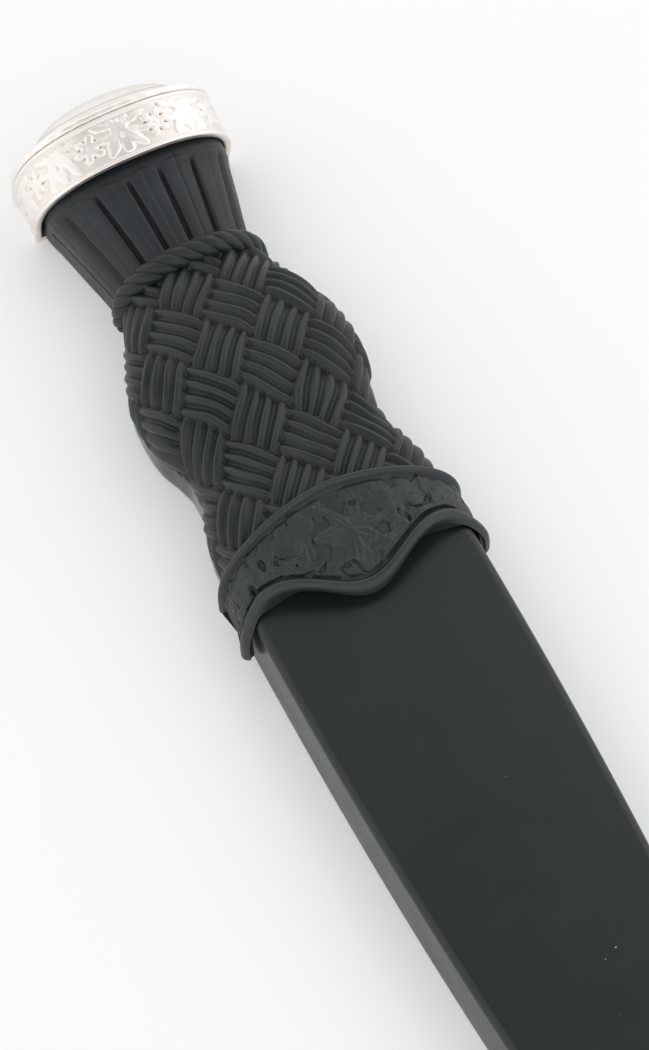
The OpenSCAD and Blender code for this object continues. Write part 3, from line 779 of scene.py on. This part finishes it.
# the lip's wave: where it is highest, its y at the middle and there, and the band's half-width in x
BOW_X = 12.6
BOW_LOW = -2.9
BOW_HIGH = 1.3
LIP_HALF = 17.0
# the upper edge's arch: its y at the middle and the sides
ARCH_HIGH = 11.1
ARCH_SIDE = 6.9
ARCH_POWER = 1.55
GUARD_Y = 4.4  # the blade's shoulder, and the lower end of the ring under the band
BACK_Y = 7.4  # the ring's upper end
# the sheath's mouth
MOUTH_Y = 4.2
MOUTH_HALF = 14.8
MOUTH_ROUND = 1.3
SHEATH_T = 8.7
SHEATH_MIDDLE = 4


def bow_y(x):
    """The lip's y."""
    a = np.abs(x)
    mid, swing = (BOW_HIGH + BOW_LOW) / 2, (BOW_HIGH - BOW_LOW) / 2
    inner = mid - swing * np.cos(math.pi * a / BOW_X)
    outer = BOW_HIGH - (BOW_HIGH + 0.7) * (1 - np.cos(math.pi / 2 * (a - BOW_X) / (LIP_HALF - BOW_X)))
    return np.where(a < BOW_X, inner, outer)


def arch_y(x):
    """The upper edge's y."""
    return ARCH_HIGH - (ARCH_HIGH - ARCH_SIDE) * np.minimum(1, np.abs(x) / LIP_HALF) ** ARCH_POWER


def band_t(y):
    """The band's height: a plain slope over the guard, then a bend down towards the sheath's face."""
    return BAND_TOP - BAND_RISE * (ARCH_HIGH - y) - BAND_BEND * np.maximum(0, MOUTH_Y - y) ** 2


def band_point(share, y, out=0.0):
    """Points on the ferrule's sloping band at these shares of its length round, pushed out by out."""
    x, z, n_x, n_z, arc = BAND_TABLE
    t = band_t(y)
    k = (t - THIN) / (THICK - THIN)

    def at(table):
        return np.interp(share, BAND_SHARES, table[0]) * (1 - k) + np.interp(share, BAND_SHARES, table[1]) * k

    return at(x) + out * at(n_x), y, at(z) + out * at(n_z), at(arc)


def band_table():
    """The band's section at two thicknesses, so that any place on it is a mix of the two."""
    tables = [[], [], [], [], []]
    for t in (THIN, THICK):
        x, z = d_section(BAND_W, t, 6000, BAND_POWER)
        keep = z >= WING_Z
        keep[:600], keep[-600:] = False, False  # never the back
        x, z = x[keep], z[keep]
        step = lengths(x, z)
        s = BAND_SHARES * step[-1]
        x, z = np.interp(s, step, x), np.interp(s, step, z)
        dx, dz = np.gradient(x), np.gradient(z)
        n = np.hypot(dx, dz)
        for table, v in zip(tables, (x, z, dz / n, -dx / n, step[-1] / 2 - s)):
            table.append(v)
    return tables


BAND_TABLE = band_table()


def under_band(x, z, clear=0.22):
    """Where the way from the sheath's middle to a point on the band crosses the mouth, grown by clear."""
    lo, hi = np.full_like(x, 0.3), np.ones_like(x)
    for _ in range(30):
        k = (lo + hi) / 2
        dx = np.maximum(np.abs(x * k) - (MOUTH_HALF + clear - MOUTH_ROUND), 0)
        dz = np.maximum(SHEATH_MIDDLE + (z - SHEATH_MIDDLE) * k - (SHEATH_T + clear - MOUTH_ROUND), 0)
        inside = np.hypot(dx, dz) < MOUTH_ROUND
        lo, hi = np.where(inside, k, lo), np.where(inside, hi, k)
    return x * lo, SHEATH_MIDDLE + (z - SHEATH_MIDDLE) * lo


def make_ferrule():
    cols, floor_rows = ((520, 120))
    share = np.linspace(0, 1, cols)
    x_mid, _, _, _ = band_point(share, 3.0)
    low = bow_y(x_mid * LIP_HALF / BAND_W)
    high = arch_y(x_mid)
    leaves = ferrule_leaves()
    wobble = Ripple(5)
    rows, relief = [], []

    def row(y, out, value, share_out=1.0):
        """Adds a row of the wall; with share_out under 1 it lies between the sheath's mouth and the band."""
        y = np.broadcast_to(y, x_mid.shape)
        x, yy, z, _ = band_point(share, y, out)
        if share_out < 1:
            base_x, _, base_z, _ = band_point(share, y)
            in_x, in_z = under_band(base_x, base_z)
            x, z = in_x + (x - in_x) * share_out, in_z + (z - in_z) * share_out
        rows.append(np.stack([x, yy, z], 1))
        relief.append(np.broadcast_to(value, x_mid.shape))

    # the walls under the lip and behind the upper bead get a low relief, so they carry painted shade
    row(GUARD_Y + 0.1, 0, 0.2, 0)
    row(low + 0.36, 0, 0.2, 0)
    for dy, k in ((0.3, 0.08), (0.28, 0.25), (0.26, 0.4), (0.24, 0.5), (0.18, 0.58), (0.1, 0.63), (0.04, 0.68),
                  (0.0, 0.74), (-0.02, 0.82), (0.02, 0.92)):  # the lip's end face
        row(low + dy, 0.1, 0.75 + 0.2 * k, k)
    for dy, out in ((0.12, 0.3), (0.26, 0.52), (0.48, 0.68), (0.75, 0.74), (1.02, 0.7), (1.26, 0.56),
                    (1.44, 0.34), (1.56, 0.08), (1.68, -0.18), (1.84, -0.34)):  # its round bead
        row(low + dy, out, unit(0.62 + 0.5 * out))
    lo, hi = low + 1.95, high - 1.25
    for t in np.linspace(0, 1, floor_rows):
        y = lo + (hi - lo) * t
        _, _, _, arc = band_point(share, y)
        du, dv = 0.25 * wobble(arc * 0.6, y * 0.6), 0.25 * wobble(y * 0.6 + 9, arc * 0.6)
        h = leaves.height(arc + du, y + dv)
        edge = smooth(0, 0.05, t) * smooth(1, 0.95, t)
        out = -0.42 + (0.48 * h + 0.09 * wobble(arc * 1.3, y * 1.3)) * edge
        row(y, out, unit(0.38 + 0.5 * h * edge))
    for dy, out in ((-1.14, -0.3), (-1.02, -0.12), (-0.92, 0.12), (-0.78, 0.32), (-0.6, 0.43), (-0.42, 0.42),
                    (-0.24, 0.3), (-0.1, 0.1), (-0.02, -0.15), (0.0, -0.5), (0.0, -1.1)):  # the upper bead
        row(high + dy, out, unit(0.62 + 0.5 * out))
    row(high - 0.5, -1.3, 0.3)
    row(BACK_Y - 0.2 + 0 * high, -0.75, 0.3)
    p = np.array(rows)
    relief = np.array(relief)
    # the wings' ends are cut square, with a small round: the last bit draws in towards the middle of the wall
    edge = np.minimum(share, 1 - share) * 2 * BAND_TABLE[4][0][0]
    k = np.sqrt(unit(1 - (1 - unit(edge / 0.4)) ** 2))
    middle_x, _, middle_z, _ = band_point(share, 0 * share + 3, -0.2)
    for j in np.flatnonzero(k < 1):
        draw = 0.78 + 0.22 * k[j]
        p[:, j, 0] = middle_x[j] + (p[:, j, 0] - middle_x[j]) * draw
        p[:, j, 2] = middle_z[j] + (p[:, j, 2] - middle_z[j]) * draw
    n_rows = len(p)
    faces = faces_of(n_rows, cols).tolist()
    flat = p.reshape(-1, 3)
    hubs = []
    for j in (0, cols - 1):  # close the wings' ends
        ring = [i * cols + j for i in range(n_rows)]
        hub = len(flat) + len(hubs)
        hubs.append(p[:, j].mean(0))
        for a, b in zip(ring, ring[1:] + ring[:1]):
            faces.append([hub, b, a] if j == 0 else [hub, a, b])
    last = (n_rows - 1) * cols
    for i in range(cols - 1):
        faces.append([last + i, i, i + 1, last + i + 1])
    flat = np.concatenate([flat, hubs])

    # the ring that goes all the way round under the band and holds the grip's end
    shares = np.linspace(0, 1, 180, endpoint=False)
    loops = []
    for y, w, t, z0 in (
        (GUARD_Y + 0.12, 13.42, 10.9, 1.1), (GUARD_Y + 0.02, 13.55, 11.0, 1.0), (GUARD_Y, 13.8, 11.2, 0.9),
        (GUARD_Y, 14.9, 12.2, 0.15), (GUARD_Y + 0.1, 15.1, 12.3, 0.04), (GUARD_Y + 0.25, 15.2, 12.35, 0.0),
        (BACK_Y - 0.25, 15.2, 12.7, 0.0), (BACK_Y - 0.08, 15.1, 12.65, 0.04), (BACK_Y, 14.95, 12.6, 0.15),
        (BACK_Y, 14.62, 12.4, 0.3), (BACK_Y - 0.1, 13.5, 11.2, 1.0),
    ):
        loops.append(d_ring(w, t, y, shares, z0))
    ring = np.array(loops)
    ring_faces = faces_of(len(loops), len(shares), wrap_cols=True, wrap_rows=True).tolist()
    piece("ferrule_relief", [(flat, faces), (ring, ring_faces)], "knife", MAT_FERRULE,
          ("ferrule",), relief=[relief, [0.5, 0.5], np.full(ring.shape[:2], 0.6)], sharp=50)


# ---- pommel


POMMEL_Z = 7.7  # the height of the cap's middle
DOME_RISE = 4.05
DOME_HALF_X = 10.4
DOME_HALF_Z = 5.5


def leaned(x, y, z, floor=0.0, shrink=1.0):
    """Leans points about the front of the lower rim. They are first cut off at floor, then drawn in."""
    c, s = math.cos(LEAN), math.sin(LEAN)
    dz = np.maximum(z - SLEEVE_T, (floor - SLEEVE_T - y * s) / c)
    dz = POMMEL_Z - SLEEVE_T + (dz + SLEEVE_T - POMMEL_Z) * shrink
    return np.stack(np.broadcast_arrays(x * shrink, SLEEVE_Y + y * c - dz * s, SLEEVE_T + y * s + dz * c), -1)


def pommel_ring(shares):
    """The cap's section and its arc lengths: a D that is 4 mm too thick, sunk by as much."""
    x, z = d_section(SLEEVE_W, SLEEVE_T + 4, 2400)
    return resample(x, z - 4, shares)


def section_normals(x, z):
    """Outward normals of a closed section."""
    dx, dz = np.roll(x, -1) - np.roll(x, 1), np.roll(z, -1) - np.roll(z, 1)
    n = np.maximum(np.hypot(dx, dz), 1e-9)
    return dz / n, -dx / n


def pommel_row(section, normals, out, y, floor=0.0, shrink=1.0):
    """One ring of the pommel, pushed out by out, with the back's points kept between its sides."""
    side = SLEEVE_W + out
    x = np.clip(section[0] + normals[0] * out, -side, side)
    return leaned(x, y, section[1] + normals[1] * out, floor, shrink)


def make_sleeve():
    cols, floor_rows = ((520, 84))
    x, z, arc = pommel_ring(np.arange(cols) / cols)
    n_x, n_z = section_normals(x, z)
    leaves = sleeve_leaves()
    wobble = Ripple(6)
    rows, relief = [], []

    def row(y, out, value):
        out = np.broadcast_to(out, x.shape)
        rows.append(pommel_row((x, z), (n_x, n_z), out, y, np.where(out < -0.8, 1.0, 0.0)))
        relief.append(np.broadcast_to(value, x.shape))

    # rows that turn in, at the back and at the rims, get a low relief, and the silver takes painted shade
    # there
    row(2.0, -1.0, 0.3)
    row(0.15, -1.0, 0.3)
    for y, out in ((0.03, -0.9), (0.0, -0.7), (0.0, -0.3), (0.04, -0.12), (0.12, -0.03), (0.26, 0.0),
                   (0.42, -0.03), (0.54, -0.12), (0.62, -0.24)):  # the lower rim
        row(y, out, np.clip(1 + out, 0.3, 1))
    for t in np.linspace(0, 1, floor_rows):
        y = 0.68 + (SLEEVE_H - 1.36) * t
        bend = 0.2 * wobble(arc * 0.7, 0.7 * y + 0 * arc)
        h = leaves.height(arc + bend, 6.44 * t - 0.17 + 0.5 * bend)
        edge = smooth(0, 0.05, t) * smooth(1, 0.95, t)
        side = smooth(0.1, 0.6, z)  # the back is plain
        lumps = 0.03 * wobble(arc * 1.6, 1.6 * y + 0 * arc)
        row(y, -0.3 + (0.22 * h + lumps) * edge * side, unit(0.36 + 0.6 * h * edge))
    for y, out in ((-0.6, -0.24), (-0.53, -0.12), (-0.44, -0.03), (-0.32, 0.0), (-0.18, -0.02), (-0.06, -0.1),
                   (0.0, -0.24), (0.0, -0.9)):  # the upper rim
        row(SLEEVE_H + y, out, np.clip(1 + out, 0.3, 1))
    row(SLEEVE_H - 0.1, -1.0, 0.3)
    p, relief = np.array(rows), np.array(relief)
    faces = faces_of(len(p), cols, wrap_cols=True, wrap_rows=True).tolist()
    piece("sleeve_embossed", [(p, faces)], "knife", MAT_SILVER, ("pommel_sleeve",),
          relief=[relief], sharp=60)


def make_plate():
    cols = 420
    x, z, arc = pommel_ring(np.arange(cols) / cols)
    n_x, n_z = section_normals(x, z)
    rows, relief = [], []

    def row(y, out, value):
        rows.append(pommel_row((x, z), (n_x, n_z), out, SLEEVE_H + y))
        relief.append(np.broadcast_to(value, x.shape))

    beads = 0.03 * np.cos(2 * math.pi * arc / 2.3)
    for y, out, v in ((0.02, -1.2, 0.3), (0.02, -0.3, 0.35), (0.06, -0.05, 0.5), (0.16, 0.06, 0.8),
                      (0.35, 0.1, 0.9), (0.55, 0.1, 1), (0.75, 0.06, 1), (0.9, -0.08, 1), (0.98, -0.3, 0.95)):
        row(y, out + beads * (y > 0.1), v)
    # the groove between the rim and the dome has a low relief, which paints shade into it
    for y, out, v in ((1.0, -0.6, 0.9), (0.98, -0.95, 0.8), (0.9, -1.15, 0.5), (0.88, -1.3, 0.4),
                      (0.92, -1.45, 0.5), (1.04, -1.65, 0.9), (1.1, -2.1, 1.0)):
        row(y, out, v)
    p, relief = np.array(rows), np.array(relief)
    # from there on the top is drawn in towards its middle
    tops = [pommel_row((x, z), (n_x, n_z), -2.1, SLEEVE_H + 1.1, 0.0, share) for share in (0.92, 0.84, 0.7)]
    p = np.concatenate([p, tops])
    relief = np.concatenate([relief, np.full((3, cols), 0.9)])
    piece("rim_plate", [closed_skin(p)], "knife", MAT_SILVER, ("pommel_plate",),
          relief=[relief, [0.5, 0.9]], sharp=45)


def make_dome():
    rings, cols = ((70, 300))
    a = np.linspace(0, 2 * math.pi, cols, endpoint=False)
    rows, relief = [], []
    for k in range(rings + 1):
        t = k / rings
        lat = t * math.radians(88)
        r = math.cos(lat)
        rise = DOME_RISE * math.sin(lat)
        petals = 0.06 * np.abs(np.cos(7 * a)) ** 0.6 * smooth(0.42, 0.5, r) * smooth(0.9, 0.8, r)
        ring = sum(-0.1 * np.exp(-(((r - at) / 0.02) ** 2)) for at in (0.93, 0.74, 0.4)) + 0 * a
        h = np.clip(rise + (petals + ring) * 0.9 - 0.06, 0, DOME_RISE)
        x = DOME_HALF_X * r * np.cos(a)
        z = POMMEL_Z + DOME_HALF_Z * r * np.sin(a)
        rows.append(leaned(x, SLEEVE_H + 1.02 + h, z))
        # the rings' grooves have a low relief, which paints shade into them
        relief.append(unit(0.75 + petals * 2.5 + ring * 6))
    piece("dome_petalled", [closed_skin(np.array(rows))], "knife", MAT_DOME, ("pommel_dome",),
          relief=[np.array(relief), [0.7, 0.9]])


# ---- sheath

TIP_HALF = 9.6
TIP_ROUND = 12.0
STRAIGHT = SHEATH_LENGTH - TIP_ROUND
BELLY = 2.2  # how late the sides draw in
FRONT_ROUND = 1.1
BACK_ROUND = 0.8
DRAFT = 0.4  # how far the sides lean in
WALL = 1.4


def sheath_half(d):
    """The sheath's half-width at distance d from y = 0 towards the tip."""
    side = MOUTH_HALF - (MOUTH_HALF - TIP_HALF) * (np.clip(d, 0, None) / STRAIGHT) ** BELLY
    tip = TIP_HALF * np.sqrt(unit(1 - ((d - STRAIGHT) / TIP_ROUND) ** 2))
    return np.where(d <= STRAIGHT, side, tip)


def sheath_outline():
    """The right side's plan from the mouth to the tip, with its outward normals."""
    d = np.concatenate([
        np.linspace(-MOUTH_Y, 0, 6)[:-1], np.linspace(0, STRAIGHT, 110)[:-1],
        STRAIGHT + TIP_ROUND * np.sin(np.linspace(0, math.pi / 2, 60)),
    ])
    x = sheath_half(d)
    y = -d
    tx, ty = np.gradient(x), np.gradient(y)
    n = np.hypot(tx, ty)
    nx, ny = -ty / n, tx / n
    nx[-1], ny[-1] = 0, -1
    nx[:6], ny[:6] = 1, 0
    return x, y, nx, ny


def make_sheath():
    x, y, nx, ny = sheath_outline()
    count = len(x)
    across = 2 * count - 1
    flat_end, round_start = BACK_ROUND, SHEATH_T - FRONT_ROUND
    outer = []
    for a in np.linspace(0, math.pi / 2, 9):
        outer.append((BACK_ROUND * (1 - math.sin(a)), BACK_ROUND * (1 - math.cos(a))))
    for z in np.linspace(flat_end, round_start, 8)[1:-1]:
        outer.append((DRAFT * (z - flat_end) / (round_start - flat_end), z))
    for a in np.linspace(0, math.pi / 2, 12):
        outer.append((DRAFT + FRONT_ROUND * (1 - math.cos(a)), round_start + FRONT_ROUND * math.sin(a)))
    inner = [(WALL, WALL), (WALL, SHEATH_T / 2), (WALL, SHEATH_T - WALL)]

    def loop(inset, z):
        """The right side's outline, drawn in by inset, at height z."""
        px = np.maximum(x - nx * inset, 0)
        py = y - ny * inset * (ny < -0.001)
        return np.stack([px, py, np.full(count, z)], 1)

    def sheet(levels):
        """Both sides of the sheath through these (inset, z) levels, with its flats closed. Faces look in."""
        right = np.array([loop(inset, z) for inset, z in levels])
        left = right * [-1, 1, 1]
        faces = faces_of(len(levels), across).tolist()
        for level, turn in ((0, 1), (len(levels) - 1, 0)):
            for i in range(count - 1):
                a, b = level * across + i, level * across + i + 1
                c, d = level * across + across - 2 - i, level * across + across - 1 - i
                quad = [a, b, c, d] if b != c else [a, b, d]
                faces.append(quad if turn else quad[::-1])
        return np.concatenate([right, left[:, -2::-1]], 1).reshape(-1, 3), faces

    outer_points, outer_faces = sheet(outer)
    inner_points, inner_faces = sheet(inner)
    first_inner = len(outer_points)
    points = np.concatenate([outer_points, inner_points])

    def angle(i):
        """A mouth point's direction from the mouth's middle."""
        return math.atan2((points[i][2] - SHEATH_T / 2) * 1.7, points[i][0])

    def mouth(levels, start):
        """The points round the mouth on these levels, in order of angle."""
        right = [start + k * across for k in range(len(levels))]
        left = [start + k * across + across - 1 for k in reversed(range(len(levels)))]
        return sorted(right + left, key=angle)

    def ahead(rim, i):
        """The angle of the rim's point after i, counted on past a full turn."""
        return angle(rim[(i + 1) % len(rim)]) + (2 * math.pi if i + 1 >= len(rim) else 0)

    # the mouth's rim is a band of triangles, which walks along both of its edges together
    a, b = mouth(outer, 0), mouth(inner, first_inner)
    band, i, j = [], 0, 0
    while i < len(a) or j < len(b):
        here_a, here_b = a[i % len(a)], b[j % len(b)]
        if j >= len(b) or (i < len(a) and ahead(a, i) <= ahead(b, j)):
            i += 1
            band.append([here_b, a[i % len(a)], here_a])
        else:
            j += 1
            band.append([here_b, b[j % len(b)], here_a])
    faces = [f[::-1] for f in outer_faces] + [[v + first_inner for v in f] for f in inner_faces] + band
    piece("sheath_moulded", [(points, faces)], "sheath", MAT_SHEATH, ("sheath_shell",),
          sharp=35)


# ---- blade


BLADE_LENGTH = 86.0
BLADE_HALF = 9.0
BLADE_T = 2.4
BLADE_Z = 4.35  # the height of its middle plane
POINT_X = -1.0
EDGE_T = 0.15  # half the thickness of the edge
GRIND = 9.9  # the width of its bevel
FULLER_X = -4.5
THREAD_R = 1.5
THREAD_PITCH = 0.5


def make_blade():
    u = np.unique(np.concatenate([np.linspace(0, 0.36, 170), np.linspace(0.36, 1, 150)]))
    u = u[u < 0.9995]
    y = GUARD_Y - BLADE_LENGTH * u
    spine = -BLADE_HALF + (BLADE_HALF + POINT_X) * np.clip((u - 0.55) / 0.45, 0, None) ** 1.7
    edge = BLADE_HALF - (BLADE_HALF - POINT_X) * u**3.2
    for i in range(8):  # file-work notches
        d = (y - (GUARD_Y - 0.07 * BLADE_LENGTH - 2.6 * i)) / 0.9
        spine = spine + 0.6 * np.sqrt(unit(1 - d * d))
    across = np.concatenate([[0, 0.012], np.linspace(0.03, 0.985, 46), [0.994, 1]])
    corner = np.where(across <= 0.0, 0.88, 1.0)
    full = BLADE_T / 2
    slope = (full - EDGE_T) / GRIND
    top, bottom = [], []
    for i in range(len(u)):
        width = edge[i] - spine[i]
        x = spine[i] + width * across
        ricasso = smooth(0.028, 0.04, u[i])
        h = np.minimum(full, EDGE_T + (edge[i] - x) * slope)
        h = full * (1 - ricasso) + h * ricasso
        h = np.minimum(h, EDGE_T + 0.9 * np.maximum(x - spine[i], 0) + 0.9 * (width > 1.2))
        run = smooth(0.06, 0.075, u[i]) * smooth(0.57, 0.54, u[i])
        fuller = np.clip(0.3 - (x - FULLER_X) ** 2 / (2 * 5.0), 0, None) * run
        h = np.maximum(h - fuller, 0.02) * corner
        top.append(np.stack([x, np.full_like(x, y[i]), BLADE_Z + h], 1))
        bottom.append(np.stack([x, np.full_like(x, y[i]), BLADE_Z - h], 1))
    blade = closed_skin(np.concatenate([np.array(top), np.array(bottom)[:, ::-1]], 1))
    tang = []
    for ty, hw, ht in ((GUARD_Y - 0.3, 4.45, 0.95), (GUARD_Y + 0.2, 4.5, 1.0), (42.8, 2.5, 1.0),
                       (43, 2.4, 0.95)):
        low, high = BLADE_Z - ht, BLADE_Z + ht
        tang.append([[hw, ty, low], [hw, ty, high], [-hw, ty, high], [-hw, ty, low]])
    a = np.linspace(0, 2 * math.pi, 40, endpoint=False)
    rod = []
    for ry in np.linspace(39, 70.2, 260):
        r = THREAD_R
        if ry >= 60:
            r = THREAD_R - 0.16 * (0.5 + 0.5 * np.cos(2 * math.pi * (ry / THREAD_PITCH) - a))
        r = r * (0.85 if ry > 70.0 else 1)
        rod.append(np.stack([r * np.cos(a), np.full_like(a, ry), BLADE_Z + r * np.sin(a)], 1))
    blocks = [blade, closed_skin(np.array(tang, float)), closed_skin(np.array(rod))]
    piece("blade_ground", blocks, "knife", MAT_BLADE, ("blade",), sharp=28)


make_sheath()
make_grip()
make_collar()
make_neck()
make_ferrule()
make_sleeve()
make_plate()
make_dome()
make_blade()


# ---- floor, light and camera

FLOOR_PAINTED_GLOW = 0.24  # painted light: the floor glows, which keeps the shadows faint
FLOOR_HALF = 6.0  # metres
ROOM = 1.2  # the room's strength
CEILING = 0.3  # the share of it that is left straight up
KEY_WATTS = 0.55
SENSOR = 36
PHOTO_HEIGHT = 1050
# fitted to the photograph's outlines: mm, degrees, and pixels for each mm at the target
CAMERA = dict(
    distance=400.0, azimuth=22.27, elevation=60.33, roll=-4.55, target=(-0.33, 10.51, 5.0), scale=8.311
)


def make_floor():
    count = 60
    g = np.linspace(-FLOOR_HALF, FLOOR_HALF, count)
    x, y = np.meshgrid(g, g)
    mesh = bpy.data.meshes.new("floor")
    points = np.stack([x, y, 0 * x - 0.00002], 2).reshape(-1, 3)
    mesh.from_pydata(points.tolist(), [], faces_of(count, count).tolist())
    mesh.validate()
    n = Nodes("pale_floor")
    n.set("Base Color", n.mix(n.cloud(9, 3, 0, 1), (0.69, 0.69, 0.692), (0.71, 0.71, 0.712)))
    n.set("Roughness", n.cloud(30, 3, 0.6, 0.75))
    n.set("Normal", n.bump(n.noise(700, 3), 0.0001, 0.3))
    # painted light: the floor glows on its own
    n.set("Emission Color", (1.0, 1.0, 1.0))
    n.set("Emission Strength", FLOOR_PAINTED_GLOW)
    mesh.materials.append(n.material)
    added("floor", mesh)


def area(name, place, target, size, watts):
    """A rectangular light at place that shines towards target."""
    light = bpy.data.lights.new(name, "AREA")
    light.shape, light.size, light.size_y = "RECTANGLE", size[0], size[1]
    light.energy = watts
    o = added(name, light)
    o.location = place
    o.rotation_mode = "QUATERNION"
    o.rotation_quaternion = (Vector(target) - Vector(place)).to_track_quat("-Z", "Y")


def make_light():
    """A white room, darker straight up, and one soft box on the photograph's right."""
    world = bpy.data.worlds.new("soft_room")
    world.use_nodes = True
    tree = world.node_tree
    back = tree.nodes["Background"]
    back.inputs["Color"].default_value = (1.0, 1.0, 1.0, 1)
    coords = tree.nodes.new("ShaderNodeTexCoord")
    axes = tree.nodes.new("ShaderNodeSeparateXYZ")
    high = tree.nodes.new("ShaderNodeMapRange")
    tree.links.new(coords.outputs["Generated"], axes.inputs[0])
    tree.links.new(axes.outputs["Z"], high.inputs["Value"])
    for k, v in zip(("From Min", "From Max", "To Min", "To Max"), (0.78, 0.96, ROOM, ROOM * CEILING)):
        high.inputs[k].default_value = v
    tree.links.new(high.outputs["Result"], back.inputs["Strength"])
    bpy.context.scene.world = world
    area("key_softbox", (0.62, 0.2, 0.62), (0, 0, 0), (0.7, 0.7), KEY_WATTS)
    view = bpy.context.scene.view_settings
    view.view_transform, view.look, view.exposure, view.gamma = "Standard", "None", 0.0, 1.0


def make_camera():
    az, el, roll = (math.radians(CAMERA[k]) for k in ("azimuth", "elevation", "roll"))
    forward = np.array([math.sin(az) * math.cos(el), math.cos(az) * math.cos(el), -math.sin(el)])
    right = np.array([math.cos(az), -math.sin(az), 0])
    up = np.cross(right, forward)
    r = right * math.cos(roll) + up * math.sin(roll)
    u = -right * math.sin(roll) + up * math.cos(roll)
    place = np.array(CAMERA["target"]) - forward * CAMERA["distance"]
    place[1] += SHIFT_Y
    m = Matrix([[r[i], u[i], -forward[i], place[i] / 1000] for i in range(3)] + [[0, 0, 0, 1]])
    data = bpy.data.cameras.new("photo_camera")
    data.sensor_fit, data.sensor_width = "AUTO", SENSOR
    data.lens = CAMERA["scale"] * CAMERA["distance"] * SENSOR / PHOTO_HEIGHT
    data.clip_start, data.clip_end = 0.01, 10
    o = added("photo_camera", data)
    o.matrix_world = m
    bpy.context.scene.camera = o


make_floor()
make_light()
make_camera()

bpy.context.view_layer.update()
